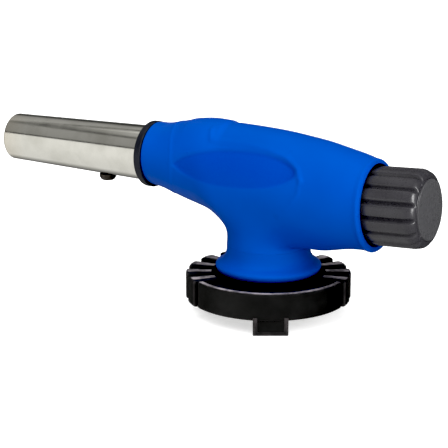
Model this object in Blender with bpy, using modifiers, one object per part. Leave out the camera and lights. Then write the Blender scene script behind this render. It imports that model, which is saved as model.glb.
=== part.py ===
"""Gas torch head: a blue two-shell housing with a steel burner tube, a rear control knob and a
bayonet base with a turning lock ring.

The frame is in metres with +Z up. The origin is on the axis of the base, level with the
underside of the lock ring. The burner tube points along -X and the control knob along +X.
All named sizes are in millimetres.
"""
import math

import bmesh
import bpy
from mathutils import Matrix, Vector

MM = 0.001
GAP = 0.3                      # clearance left between pieces that touch

# ---- base: lock ring, claws, hub and inlet -----------------------------------------------
RING_RADIUS = 26.0             # tips of the grip lobes
RING_ROOT_RADIUS = 24.3        # between the lobes
RING_FRONT_RADIUS = 25.4       # the plain stretch around the tab
RING_HEIGHT = 8.5
RING_PLATE_BOTTOM = 5.5
RING_WALL_INNER_RADIUS = 22.0
RING_BORE_RADIUS = 9.3
RING_LOBES = 18
RING_PLAIN_LOBES = 6           # lobes left out around the tab
TAB_AZIMUTH = math.radians(-59.0)
TAB_WIDTH = 10.7
TAB_DROP = 4.6                 # how far the tab hangs below the ring
TAB_INNER_RADIUS = 22.3
TAB_OUTER_RADIUS = 25.2
CLAW_PLATE_BOTTOM = 4.0
CLAW_PLATE_TOP = 5.2
CLAW_OUTER_RADIUS = 21.6
CLAW_HALF_ANGLE = math.radians(15.0)
CLAW_SCREW_RADIUS = 16.5       # pitch circle of the screws that hold the claw plate
HUB_RADIUS = 9.0
HUB_FOOT_RADIUS = 12.0         # carries the lock ring from below
HUB_BOTTOM = 3.7
HUB_TOP = 12.6
STEM_RADIUS = 5.9
STEM_MOUTH_RADIUS = 4.2
STEM_TOP = 24.0
FLANGE_RADIUS = 16.6
FLANGE_TOP = 17.0

# ---- housing -----------------------------------------------------------------------------
NECK_BOTTOM = FLANGE_TOP + GAP
NECK_RADIUS = 13.1
NECK_JOIN_RADIUS = 12.7
NECK_JOIN_HEIGHT = 21.6        # where the neck runs into the body, at its side
NECK_JOIN_SLOPE = 2.9          # higher at the front, lower at the rear
WALL = 1.8
MOUTH_WALL = 1.2               # at the front and rear openings
SEAM = 0.15                    # each shell stops this far from the middle plane
ROWS = 8                       # cage rows from the top line to the bottom line
# The body's stations from front to rear: x, top, bottom, half width, lean of the station in degrees.
# Five of them run over the neck, where the bottom is only a guide for the flanks.
STATIONS = [
    (-41.0, 51.8, 31.6, 10.1, 0.0),
    (-36.5, 51.9, 30.9, 10.5, 0.0),
    (-31.0, 53.3, 29.1, 11.2, 0.0),
    (-25.5, 54.3, 27.6, 12.0, 0.0),
    (-19.5, 54.9, 26.1, 12.9, 0.0),
    (-12.5, 54.5, 19.0, 13.7, 0.0),
    (-6.0, 54.3, 17.5, 14.3, 0.0),
    (0.0, 54.0, 17.0, 14.6, 0.0),
    (6.0, 53.6, 17.0, 14.8, 0.0),
    (12.5, 52.8, 17.2, 14.9, 0.0),
    (19.5, 51.9, 18.0, 14.8, 0.5),
    (26.0, 50.5, 19.5, 14.5, 1.5),
    (32.0, 49.3, 20.4, 14.1, 2.5),
    (37.0, 47.7, 20.3, 13.8, 3.0),
]
NECK_FIRST = 5                 # first and last station over the neck
NECK_LAST = 9
# Screws that close the housing: x, z and the depth of the head's seat on the +Y side.
HOUSING_SCREWS = [(-25.0, 32.6, 4.5), (-12.0, 49.0, 6.0), (14.0, 47.5, 6.5), (17.0, 23.5, 5.0)]
BOSS_RADIUS = 4.0
SCREW_HOLE_RADIUS = 1.5        # passes every small screw
SCREW_WELL_RADIUS = 3.0

# ---- burner ------------------------------------------------------------------------------
BARREL_AXIS_HEIGHT = 41.3
MUZZLE_X = -99.1
MUZZLE_RADIUS = 7.8
BARREL_RADIUS = 9.0            # at the collar
BARREL_WALL = 0.8
BARREL_SHOULDER_X = -42.0
BARREL_REAR_X = -33.0
SPIGOT_RADIUS = 8.2            # the tube's thinner rear end, inside the housing
COLLAR_RADIUS = 10.7
ELECTRODE_OFFSET = 5.8         # above the barrel axis
BARREL_SCREW_X = -61.3

# ---- control knob ------------------------------------------------------------------------
KNOB_TILT = math.radians(3.0)
RIM_X = 37.7
RIM_Z = 34.3
KNOB_RADIUS = 11.9
KNOB_LENGTH = 16.6             # stands this far out of the rim
KNOB_SKIRT = -2.0              # its open front end, inside the rim
KNOB_TAPER_START = 1.0         # the skirt narrows from here to its front end
KNOB_TAPER = 0.55
KNOB_SHOULDER = 3.3            # radius of its rounded rear corner
KNOB_DOME = 0.35               # how far the middle of its end stands out
KNOB_GROOVES = 15
SPRING_TURNS = 4

BLUE = (0.008, 0.085, 0.42)
BLACK = (0.012, 0.012, 0.014)
GREY = (0.045, 0.045, 0.052)
BRASS = (0.62, 0.42, 0.14)
STEEL = (0.55, 0.54, 0.52)
ZINC = (0.42, 0.42, 0.43)
CERAMIC = (0.82, 0.80, 0.74)
NYLON = (0.60, 0.58, 0.52)


def clear_scene():
    for obj in list(bpy.data.objects):
        bpy.data.objects.remove(obj, do_unlink=True)


def make_collection(name):
    collection = bpy.data.collections.new(name)
    bpy.context.scene.collection.children.link(collection)
    return collection


clear_scene()
PARTS = make_collection("gas_torch_head")
CUTTERS = make_collection("cutters")


def make_axis(name, location, lean=None):
    """An empty whose Z axis is a working axis: upright, or turned towards +X by `lean`."""
    empty = bpy.data.objects.new(name, None)
    empty.location = Vector(location) * MM
    if lean is not None:
        empty.rotation_euler = (0.0, lean, 0.0)
    empty.empty_display_size = 0.01
    PARTS.objects.link(empty)
    return empty


BASE_AXIS = make_axis("base_axis", (0.0, 0.0, 0.0))
BARREL_AXIS = make_axis("barrel_axis", (0.0, 0.0, BARREL_AXIS_HEIGHT), math.pi / 2)
KNOB_AXIS = make_axis("knob_axis", (RIM_X, 0.0, RIM_Z), math.pi / 2 - KNOB_TILT)


# ---- helpers -----------------------------------------------------------------------------
def add_object(name, data, parent=None, collection=PARTS):
    obj = bpy.data.objects.new(name, data)
    collection.objects.link(obj)
    obj.parent = parent
    return obj


def as_cutter(obj):
    obj.hide_render = True
    obj.display_type = "WIRE"
    return obj


def finish(obj, colour, roughness, metallic=0.0):
    """Gives the object its own material."""
    material = bpy.data.materials.new(obj.name)
    material.use_nodes = True
    shader = material.node_tree.nodes["Principled BSDF"]
    shader.inputs["Base Color"].default_value = (*colour, 1.0)
    shader.inputs["Roughness"].default_value = roughness
    shader.inputs["Metallic"].default_value = metallic
    obj.data.materials.clear()
    obj.data.materials.append(material)


def smooth(obj, angle=35.0):
    obj.data.shade_smooth()
    obj.data.set_sharp_from_angle(angle=math.radians(angle))


def mesh_from(name, vertices, edges=(), faces=()):
    mesh = bpy.data.meshes.new(name)
    mesh.from_pydata([Vector(v) * MM for v in vertices], list(edges), list(faces))
    return mesh


def turned(name, profile, parent, closed=True, steps=24, collection=PARTS):
    """Turns a profile of (radius, height) points about the parent's Z axis.

    The points run down the outer side. A closed profile makes a ring or a tube.
    """
    count = len(profile)
    edges = [(i, i + 1) for i in range(count - 1)]
    if closed:
        edges.append((count - 1, 0))
    points = [(radius, 0.0, height) for radius, height in profile]
    obj = add_object(name, mesh_from(name, points, edges), parent, collection)
    screw = obj.modifiers.new("turn", "SCREW")
    screw.axis = "Z"
    screw.angle = 2 * math.pi
    screw.steps = steps
    screw.render_steps = steps
    screw.use_merge_vertices = True
    screw.merge_threshold = 0.00001
    screw.use_smooth_shade = True
    return obj


def rods(name, placements, radius, length, parent=None, segments=12):
    """A cutter of separate cylinders, each centred on a matrix whose Z is its axis."""
    shape = bmesh.new()
    for placement in placements:
        place = placement.copy()
        place.translation = placement.translation * MM
        bmesh.ops.create_cone(shape, cap_ends=True, segments=segments, radius1=radius * MM,
                              radius2=radius * MM, depth=length * MM, matrix=place)
    mesh = bpy.data.meshes.new(name)
    shape.to_mesh(mesh)
    shape.free()
    return as_cutter(add_object(name, mesh, parent, CUTTERS))


def block(name, low, high, parent=None, collection=CUTTERS):
    """A box between two corners."""
    shape = bmesh.new()
    size = Vector(high) - Vector(low)
    middle = (Vector(high) + Vector(low)) / 2
    place = Matrix.Translation(middle * MM) @ Matrix.Diagonal((*(size * MM), 1.0))
    bmesh.ops.create_cube(shape, size=1.0, matrix=place)
    mesh = bpy.data.meshes.new(name)
    shape.to_mesh(mesh)
    shape.free()
    obj = add_object(name, mesh, parent, collection)
    return as_cutter(obj) if collection is CUTTERS else obj


def combine(obj, operand, operation="DIFFERENCE"):
    boolean = obj.modifiers.new(operand.name, "BOOLEAN")
    boolean.operation = operation
    boolean.solver = "EXACT"
    boolean.object = operand
    return obj


def wire(name, points, radius, parent=None, resolution=2, collection=PARTS):
    """A round wire or tube along a list of points."""
    curve = bpy.data.curves.new(name, "CURVE")
    curve.dimensions = "3D"
    curve.bevel_depth = radius * MM
    curve.bevel_resolution = resolution
    curve.use_fill_caps = True
    spline = curve.splines.new("POLY")
    spline.points.add(len(points) - 1)
    for spline_point, point in zip(spline.points, points):
        spline_point.co = (*(Vector(point) * MM), 1.0)
    return add_object(name, curve, parent, collection)


def along(points, steps):
    """Reads `steps` + 1 places off a smooth curve through a few route points."""
    path = []
    ends = [points[0] * 2 - points[1]] + list(points) + [points[-1] * 2 - points[-2]]
    spans = len(points) - 1
    for step in range(steps + 1):
        place = min(step * spans / steps, spans - 1e-9)
        index = int(place)
        t = place - index
        p0, p1, p2, p3 = ends[index:index + 4]
        path.append(0.5 * (p1 * 2 + (p2 - p0) * t + (p0 * 2 - p1 * 5 + p2 * 4 - p3) * t * t
                           + (p1 * 3 - p0 - p2 * 3 + p3) * t ** 3))
    return path


def upright(x, y, z):
    return Matrix.Translation((x, y, z))


def across(x, y, z):
    """A placement whose Z axis lies along Y."""
    return Matrix.Translation((x, y, z)) @ Matrix.Rotation(math.pi / 2, 4, "X")


def polar(radius, angle, z=0.0):
    return Vector((radius * math.cos(angle), radius * math.sin(angle), z))


def screw_piece(name, head_radius, head_height, shank_radius, shank_length, parent, recess=0.8):
    """A pan-head screw. Its head stands on z = 0 and its shank runs down to -shank_length."""
    profile = [
        (0.0, head_height),
        (head_radius * 0.72, head_height),
        (head_radius, head_height * 0.55),
        (head_radius, 0.0),
        (shank_radius, 0.0),
        (shank_radius, -shank_length + shank_radius * 0.6),
        (shank_radius * 0.4, -shank_length),
        (0.0, -shank_length),
    ]
    obj = turned(name, profile, parent, closed=False, steps=10)
    arm = head_radius * 0.62
    width = head_radius * 0.13
    floor = head_height - recess
    for index, (x, y) in enumerate(((arm, width), (width, arm))):
        slot = block(f"{name}_slot_{index}", (-x, -y, floor), (x, y, head_height + 1.0), obj)
        combine(obj, slot)
    finish(obj, STEEL, 0.35, 1.0)
    return obj


# ---- housing -----------------------------------------------------------------------------
def lifted(before, point, after):
    """Moves a cage point out so that the subdivided surface passes through `point`."""
    return (point * 2 - before - after) / 6


def housing_cage(name, inset, overrun):
    """Half of the housing's closed skin, for the +Y side.

    `inset` shrinks it everywhere, and `overrun` carries its three mouths outwards.
    """
    grid = []
    for index, (x, top, bottom, width, lean) in enumerate(STATIONS):
        at_mouth = index in (0, len(STATIONS) - 1)
        thickness = min(inset, MOUTH_WALL) if at_mouth else inset
        middle = (top + bottom) / 2
        height = (top - bottom) / 2 - thickness
        if at_mouth:
            x += math.copysign(overrun, x)
        column = []
        for row in range(ROWS + 1):
            angle = math.pi * row / ROWS
            z = height * math.cos(angle)
            y = (width - thickness) * math.sin(angle)
            column.append(Vector((x - z * math.tan(math.radians(lean)), y, middle + z)))
        grid.append(column)

    # the mouth of the neck: a half circle shared by the flank rows and the end columns
    mouth = [(NECK_FIRST, 8), (NECK_FIRST, 7)]
    mouth += [(column, 6) for column in range(NECK_FIRST, NECK_LAST + 1)]
    mouth += [(NECK_LAST, 7), (NECK_LAST, 8)]
    swell = 3 / (2 + math.cos(math.pi / ROWS))
    for step, (column, row) in enumerate(mouth):
        turn = math.pi * (1 - step / (len(mouth) - 1))
        height = NECK_JOIN_HEIGHT - NECK_JOIN_SLOPE * math.cos(turn)
        grid[column][row] = polar(NECK_JOIN_RADIUS - inset, turn, height)

    gone = {(column, row) for column in range(NECK_FIRST + 1, NECK_LAST) for row in (7, 8)}
    ring_cells = set(mouth)
    vertices = []
    number = {}
    for column in range(len(STATIONS)):
        for row in range(ROWS + 1):
            if (column, row) in gone:
                continue
            point = grid[column][row]
            if (column, row) in ring_cells:
                cage_point = Vector((point.x * swell, point.y * swell, point.z))
            else:
                cage_point = point.copy()
                if 0 < column < len(STATIONS) - 1:
                    cage_point += lifted(grid[column - 1][row], point, grid[column + 1][row])
                before = grid[column][row - 1] if row else grid[column][1] * Vector((1, -1, 1))
                after = grid[column][row + 1] if row < ROWS else grid[column][row - 1] * Vector((1, -1, 1))
                cage_point += lifted(before, point, after)
            if row in (0, ROWS):
                cage_point.y = 0.0
            number[column, row] = len(vertices)
            vertices.append(cage_point)

    foot = []
    for step in range(len(mouth)):
        turn = math.pi * (1 - step / (len(mouth) - 1))
        foot.append(len(vertices))
        vertices.append(polar((NECK_RADIUS - inset) * swell, turn, NECK_BOTTOM - overrun))
    vertices[foot[0]].y = 0.0
    vertices[foot[-1]].y = 0.0

    faces = []
    for column in range(len(STATIONS) - 1):
        for row in range(ROWS):
            if NECK_FIRST <= column < NECK_LAST and row >= 6:
                continue
            corners = ((column, row), (column + 1, row), (column + 1, row + 1), (column, row + 1))
            faces.append([number[corner] for corner in corners])
    for step in range(len(mouth) - 1):
        faces.append([number[mouth[step]], number[mouth[step + 1]], foot[step + 1], foot[step]])
    last = len(STATIONS) - 1
    faces.append([number[0, row] for row in range(ROWS + 1)])
    faces.append([number[last, row] for row in range(ROWS, -1, -1)])
    faces.append(foot)

    mesh = mesh_from(name, vertices, faces=faces)
    mark_mouths(mesh)
    return mesh


def mark_mouths(mesh):
    """Creases the rims of the three end faces, so that they stay flat."""
    shape = bmesh.new()
    shape.from_mesh(mesh)
    crease = shape.edges.layers.float.new("crease_edge")
    for face in shape.faces:
        if len(face.verts) <= 4:
            continue
        for edge in face.edges:
            if max(abs(vertex.co.y) for vertex in edge.verts) > 1e-6:
                edge[crease] = 1.0
    shape.to_mesh(mesh)
    shape.free()


def skin(name, inset, overrun, collection):
    """The whole closed skin: the half cage mirrored and subdivided."""
    obj = add_object(name, housing_cage(name, inset, overrun), None, collection)
    mirror = obj.modifiers.new("mirror", "MIRROR")
    mirror.use_axis = (False, True, False)
    mirror.merge_threshold = 0.00001
    mirror.use_clip = True
    subdivision = obj.modifiers.new("subdivision", "SUBSURF")
    subdivision.levels = 1
    subdivision.render_levels = 1
    return obj


def make_housing():
    core = as_cutter(skin("housing_core", WALL, 3.0, CUTTERS))
    bosses = [across(x, 0.0, z) for x, z, _ in HOUSING_SCREWS]
    combine(core, rods("screw_bosses", bosses, BOSS_RADIUS, 60.0))
    left_half = block("left_half", (-60.0, SEAM, 0.0), (60.0, 30.0, 70.0))
    right_half = block("right_half", (-60.0, -30.0, 0.0), (60.0, -SEAM, 70.0))
    depth = 20.0
    wells = [across(x, seat + depth / 2, z) for x, z, seat in HOUSING_SCREWS]
    left_wells = rods("screw_wells", wells, SCREW_WELL_RADIUS, depth)
    holes = rods("screw_holes", bosses, SCREW_HOLE_RADIUS, 24.0)
    pilots = rods("screw_pilots", bosses, SCREW_HOLE_RADIUS, 11.0)
    for name, half, extra in (("housing_left", left_half, (left_wells, holes)),
                              ("housing_right", right_half, (pilots,))):
        shell = skin(name, 0.0, 0.0, PARTS)
        combine(shell, core)
        combine(shell, half, "INTERSECT")
        for cutter in extra:
            combine(shell, cutter)
        smooth(shell, 40.0)
        finish(shell, BLUE, 0.35)


def make_housing_screws():
    for index, (x, z, seat) in enumerate(HOUSING_SCREWS, start=1):
        obj = screw_piece(f"housing_screw_{index}", 2.6, 1.6, 1.2, seat + 4.5, None)
        obj.location = Vector((x, seat + GAP / 2, z)) * MM
        obj.rotation_euler = (-math.pi / 2, 0.0, 0.0)


# ---- burner ------------------------------------------------------------------------------
def barrel_radius(x):
    """Outer radius of the tapered tube."""
    share = (x - BARREL_SHOULDER_X) / (MUZZLE_X - BARREL_SHOULDER_X)
    return BARREL_RADIUS + (MUZZLE_RADIUS - BARREL_RADIUS) * share


def make_burner_tube():
    lip = 0.7
    profile = [
        (SPIGOT_RADIUS, BARREL_REAR_X),
        (SPIGOT_RADIUS, BARREL_SHOULDER_X + 0.2),
        (BARREL_RADIUS, BARREL_SHOULDER_X),
        (barrel_radius(-70.0), -70.0),
        (MUZZLE_RADIUS, MUZZLE_X + lip),
        (MUZZLE_RADIUS - 0.25, MUZZLE_X + 0.2),
        (MUZZLE_RADIUS - 0.7, MUZZLE_X),
        (MUZZLE_RADIUS - 1.1, MUZZLE_X + 0.3),
        (MUZZLE_RADIUS - BARREL_WALL - 0.1, MUZZLE_X + 1.4),
        (barrel_radius(-70.0) - BARREL_WALL, -70.0),
        (BARREL_RADIUS - BARREL_WALL, BARREL_SHOULDER_X - 0.6),
        (SPIGOT_RADIUS - BARREL_WALL, BARREL_SHOULDER_X),
        (SPIGOT_RADIUS - BARREL_WALL, BARREL_REAR_X),
    ]
    tube = turned("burner_tube", profile, BARREL_AXIS, steps=32)
    below = Matrix.Translation((BARREL_SCREW_X, 0.0, BARREL_AXIS_HEIGHT - 9.0))
    combine(tube, rods("barrel_screw_hole", [below], SCREW_HOLE_RADIUS, 6.0))
    finish(tube, STEEL, 0.12, 1.0)


def make_front_collar():
    front = BARREL_SHOULDER_X - 1.8
    rear = STATIONS[0][0] - GAP
    inner = BARREL_RADIUS + GAP
    profile = [
        (inner, rear),
        (COLLAR_RADIUS - 0.3, rear),
        (COLLAR_RADIUS, rear - 0.4),
        (COLLAR_RADIUS, front + 0.4),
        (COLLAR_RADIUS - 0.4, front),
        (inner, front),
    ]
    collar = turned("front_collar", profile, BARREL_AXIS, steps=32)
    finish(collar, BLACK, 0.5)


def make_mixing_tube():
    outer = 4.2
    inner = 3.5
    profile = [
        (outer, -27.0),
        (outer, -36.0),
        (7.0, -36.0),
        (7.0, -38.0),
        (outer, -38.0),
        (outer, -58.0),
        (inner, -58.0),
        (inner, -27.0),
    ]
    tube = turned("mixing_tube", profile, BARREL_AXIS, steps=20)
    slots = []
    for angle in (0.0, math.pi / 2):
        slots.append(Matrix.Translation((0.0, 0.0, -32.0)) @ Matrix.Rotation(angle, 4, "Z")
                     @ Matrix.Rotation(math.pi / 2, 4, "X"))
    combine(tube, rods("air_holes", slots, 1.6, 12.0, BARREL_AXIS))
    combine(tube, electrode_passage("tube_passage", -37.0))
    finish(tube, BRASS, 0.35, 1.0)


def electrode_passage(name, x):
    """A cutter for the hole that lets the electrode through a wall at `x`."""
    place = Matrix.Translation((-ELECTRODE_OFFSET, 0.0, x))
    return rods(name, [place], 1.8, 8.0, BARREL_AXIS, segments=14)


def make_flame_holder():
    front = -64.0
    rear = -58.4
    port = 1.2
    outer = 7.4
    edge = 0.4
    profile = [
        (port, rear),
        (outer - edge, rear),
        (outer, rear - edge),
        (outer, front + edge),
        (outer - edge, front),
        (port, front),
    ]
    holder = turned("flame_holder", profile, BARREL_AXIS, steps=26)
    middle = (front + rear) / 2
    ports = []
    for index in range(1, 8):
        angle = math.pi + index * math.pi / 4
        if index == 4:
            continue
        ports.append(Matrix.Translation(polar(4.6, angle, middle)))
    combine(holder, rods("flame_ports", ports, port, 8.0, BARREL_AXIS, segments=8))
    combine(holder, electrode_passage("holder_passage", middle))
    below = Matrix.Translation((BARREL_SCREW_X, 0.0, BARREL_AXIS_HEIGHT - 7.0))
    combine(holder, rods("holder_screw_hole", [below], SCREW_HOLE_RADIUS, 4.0))
    finish(holder, BRASS, 0.4, 1.0)


def make_barrel_screw():
    screw = screw_piece("barrel_screw", 2.8, 2.2, 1.2, 3.0, None)
    seat = BARREL_AXIS_HEIGHT - barrel_radius(BARREL_SCREW_X) - 0.1
    screw.location = Vector((BARREL_SCREW_X, 0.0, seat)) * MM
    screw.rotation_euler = (math.pi, 0.0, 0.0)
    finish(screw, (0.05, 0.045, 0.04), 0.4, 1.0)


def make_gas_jet():
    profile = [
        (0.6, -18.0),
        (4.0, -18.0),
        (4.0, -22.5),
        (2.4, -23.0),
        (2.4, -28.0),
        (1.4, -29.5),
        (0.6, -29.5),
    ]
    jet = turned("gas_jet", profile, BARREL_AXIS, steps=18)
    finish(jet, BRASS, 0.3, 1.0)


def make_gas_tube():
    start = Vector((-7.7, 0.0, 34.5))
    end = Vector((-17.7, 0.0, BARREL_AXIS_HEIGHT))
    bend = (start.x + end.x) / 2
    route = []
    for step in range(15):
        t = step / 14
        handle_a = Vector((bend, 0.0, start.z))
        handle_b = Vector((bend, 0.0, end.z))
        route.append(start * (1 - t) ** 3 + handle_a * 3 * t * (1 - t) ** 2
                     + handle_b * 3 * t * t * (1 - t) + end * t ** 3)
    tube = wire("gas_tube", route, 1.5)
    finish(tube, BRASS, 0.3, 1.0)


def make_electrode():
    profile = [(0.0, -24.0), (0.9, -24.0), (1.2, -24.4), (1.2, -69.2), (0.8, -70.0), (0.0, -70.0)]
    insulator = turned("electrode_insulator", profile, BARREL_AXIS, closed=False, steps=12)
    insulator.location = (-ELECTRODE_OFFSET * MM, 0.0, 0.0)
    finish(insulator, CERAMIC, 0.3)
    height = BARREL_AXIS_HEIGHT + ELECTRODE_OFFSET
    route = [Vector((-70.3, 0.0, height)), Vector((-73.5, 0.0, height)),
             Vector((-76.0, 0.0, height - 1.5)), Vector((-77.0, 0.0, height - 4.0))]
    finish(wire("electrode_wire", along(route, 9), 0.45), STEEL, 0.3, 1.0)


def make_ignition_lead():
    route = [Vector(point) for point in (
        (-23.2, 0.0, 47.2), (-20.0, 2.5, 47.0), (-14.0, 6.5, 43.4), (-4.0, 8.5, 42.0),
        (8.0, 8.0, 41.4), (16.0, 5.0, 41.6), (21.7, 0.6, 42.4))]
    finish(wire("ignition_lead", along(route, 20), 0.8, resolution=1), BLACK, 0.5)


# ---- valve -------------------------------------------------------------------------------
def make_valve_body():
    rear = -24.3
    front = -45.0
    radius = 6.0
    profile = [
        (0.0, -39.6),
        (1.1, -39.6),
        (1.1, -36.0),
        (3.0, -33.0),
        (3.0, rear),
        (radius, rear),
        (radius, front),
        (0.0, front),
    ]
    body = turned("valve_body", profile, KNOB_AXIS, closed=False, steps=28)
    column = turned("valve_column", [(0.0, 30.0), (6.2, 30.0), (6.2, 20.0), (0.0, 20.0)], BASE_AXIS,
                    closed=False, steps=28, collection=CUTTERS)
    combine(body, as_cutter(column), "UNION")
    combine(body, rods("stem_socket", [upright(0.0, 0.0, 21.0)], 4.3, 6.6))
    combine(body, rods("inlet_drilling", [upright(0.0, 0.0, 27.4)], 0.7, 10.2, segments=10))
    outlet = Matrix.Translation((-2.3, 0.0, -38.8))
    combine(body, rods("outlet_drilling", [outlet], 0.7, 14.0, KNOB_AXIS, segments=10))
    finish(body, BRASS, 0.35, 1.0)


def hexagon(name, radius, low, high, parent, bore):
    """A hexagonal nut with a round bore."""
    nut = turned(name, [(0.0, high), (radius, high), (radius, low), (0.0, low)], parent,
                 closed=False, steps=6)
    place = Matrix.Translation((0.0, 0.0, (low + high) / 2))
    combine(nut, rods(f"{name}_bore", [place], bore, high - low + 2.0, parent, segments=24))
    finish(nut, BRASS, 0.3, 1.0)
    return nut


def make_valve_spindle():
    profile = [
        (0.0, -13.5),
        (1.7, -13.5),
        (2.0, -13.8),
        (2.0, -20.0),
        (2.6, -20.4),
        (2.6, -28.4),
        (1.9, -28.4),
        (1.9, -30.2),
        (2.6, -30.2),
        (2.6, -31.4),
        (2.1, -32.2),
        (0.3, -35.8),
        (0.0, -35.8),
    ]
    spindle = turned("valve_spindle", profile, KNOB_AXIS, closed=False, steps=20)
    finish(spindle, ZINC, 0.3, 1.0)


def ring(name, major, minor, height, parent, colour, sides=6, steps=20):
    """A round-section ring."""
    profile = []
    for side in range(sides):
        angle = math.pi / 2 - 2 * math.pi * side / sides
        profile.append((major + minor * math.cos(angle), height + minor * math.sin(angle)))
    finish(turned(name, profile, parent, steps=steps), colour, 0.55)


def make_knob():
    inner = 10.2
    cup = 13.5
    floor = 9.5
    middle = KNOB_RADIUS - KNOB_SHOULDER
    edge = KNOB_LENGTH - KNOB_DOME
    profile = [(0.0, KNOB_LENGTH), (middle / 2, KNOB_LENGTH - KNOB_DOME / 4), (middle, edge)]
    for step in range(1, 6):
        angle = math.radians(90.0 - 18.0 * step)
        profile.append((middle + KNOB_SHOULDER * math.cos(angle),
                        edge - KNOB_SHOULDER * (1 - math.sin(angle))))
    profile += [
        (KNOB_RADIUS, KNOB_TAPER_START),
        (KNOB_RADIUS - KNOB_TAPER, KNOB_SKIRT),
        (inner, KNOB_SKIRT),
        (inner, cup - 1.0),
        (inner - 1.0, cup),
        (4.0, cup),
        (4.0, floor),
        (0.0, floor),
    ]
    knob = turned("control_knob", profile, KNOB_AXIS, closed=False, steps=45)
    grooves = []
    for index in range(KNOB_GROOVES):
        angle = 2 * math.pi * (index + 0.5) / KNOB_GROOVES
        grooves.append(Matrix.Translation(polar(KNOB_RADIUS + 0.15, angle, 5.0)))
    combine(knob, rods("knob_grooves", grooves, 0.9, 17.0, KNOB_AXIS, segments=6))
    finish(knob, GREY, 0.45)


def make_flow_dial():
    profile = [(8.2, 5.0), (9.4, 5.0), (9.4, -14.0), (5.0, -14.0), (5.0, -18.0), (2.35, -18.0),
               (2.35, -12.0), (8.2, -12.0)]
    finish(turned("flow_dial", profile, KNOB_AXIS), NYLON, 0.5)


def make_piezo():
    body = [(0.0, -9.6), (3.6, -9.6), (3.6, -1.0), (7.6, -1.0), (7.6, -11.6), (0.0, -11.6)]
    finish(turned("piezo_body", body, KNOB_AXIS, closed=False, steps=24), BLACK, 0.5)
    plunger = [(0.0, 9.2), (6.4, 9.2), (6.4, 8.2), (3.2, 8.2), (3.2, -4.0), (0.0, -4.0)]
    finish(turned("piezo_plunger", plunger, KNOB_AXIS, closed=False, steps=20), NYLON, 0.5)


def make_return_spring():
    low = -0.2
    high = 7.4
    radius = 4.9
    sides = 9
    route = []
    for step in range(SPRING_TURNS * sides + 1):
        turn = step / sides
        angle = 2 * math.pi * turn
        route.append(polar(radius, angle, low + (high - low) * turn / SPRING_TURNS))
    finish(wire("return_spring", route, 0.4, KNOB_AXIS, resolution=1), STEEL, 0.3, 1.0)


def make_rear_supports():
    bush = [(9.7, -8.0), (11.2, -8.0), (11.2, -13.0), (9.7, -13.0)]
    finish(turned("rear_bush", bush, KNOB_AXIS), BLACK, 0.5)
    contact = [(5.4, -14.4), (7.2, -14.4), (7.2, -17.6), (5.4, -17.6)]
    finish(turned("contact_ring", contact, KNOB_AXIS, steps=24), BRASS, 0.3, 1.0)


# ---- base --------------------------------------------------------------------------------
def ring_outline():
    """The lock ring's outline: raised lobes, and a plain stretch around the tab."""
    pitch = 2 * math.pi / RING_LOBES
    plain = RING_PLAIN_LOBES * pitch / 2
    steps = 16
    points = []
    for step in range(steps + 1):
        angle = TAB_AZIMUTH - plain + 2 * plain * step / steps
        points.append(polar(RING_FRONT_RADIUS, angle))
    for index in range(RING_LOBES - RING_PLAIN_LOBES):
        middle = TAB_AZIMUTH + plain + pitch * (index + 0.5)
        for share, radius in ((-0.34, RING_ROOT_RADIUS), (-0.26, RING_RADIUS - 0.2), (0.0, RING_RADIUS),
                              (0.26, RING_RADIUS - 0.2), (0.34, RING_ROOT_RADIUS)):
            points.append(polar(radius, middle + share * pitch))
    return points


def prism(name, outline, low, high, parent, collection=PARTS):
    """A flat outline drawn as a 2D curve and given a thickness, as a mesh."""
    curve = bpy.data.curves.new(name, "CURVE")
    curve.dimensions = "2D"
    curve.fill_mode = "BOTH"
    curve.extrude = (high - low) / 2 * MM
    spline = curve.splines.new("POLY")
    spline.points.add(len(outline) - 1)
    for spline_point, point in zip(spline.points, outline):
        spline_point.co = (point.x * MM, point.y * MM, 0.0, 1.0)
    spline.use_cyclic_u = True
    source = add_object(name, curve, None, collection)
    depsgraph = bpy.context.evaluated_depsgraph_get()
    mesh = bpy.data.meshes.new_from_object(source.evaluated_get(depsgraph))
    bpy.data.objects.remove(source, do_unlink=True)
    shape = bmesh.new()
    shape.from_mesh(mesh)
    bmesh.ops.remove_doubles(shape, verts=shape.verts, dist=0.000001)
    bmesh.ops.translate(shape, verts=shape.verts, vec=(0.0, 0.0, (low + high) / 2 * MM))
    bmesh.ops.recalc_face_normals(shape, faces=shape.faces)
    shape.to_mesh(mesh)
    shape.free()
    mesh.name = name
    return add_object(name, mesh, parent, collection)


def sector(radius, middle, half_angle, steps=6):
    """A pie slice outline."""
    points = [Vector((0.0, 0.0, 0.0))]
    for step in range(steps + 1):
        points.append(polar(radius, middle - half_angle + 2 * half_angle * step / steps))
    return points


def claw_angles(offset):
    return [TAB_AZIMUTH + math.radians(offset + 120.0 * index) for index in range(3)]


def claw_screw_places(z):
    return [Matrix.Translation(polar(CLAW_SCREW_RADIUS, angle, z)) for angle in claw_angles(0.0)]


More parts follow.
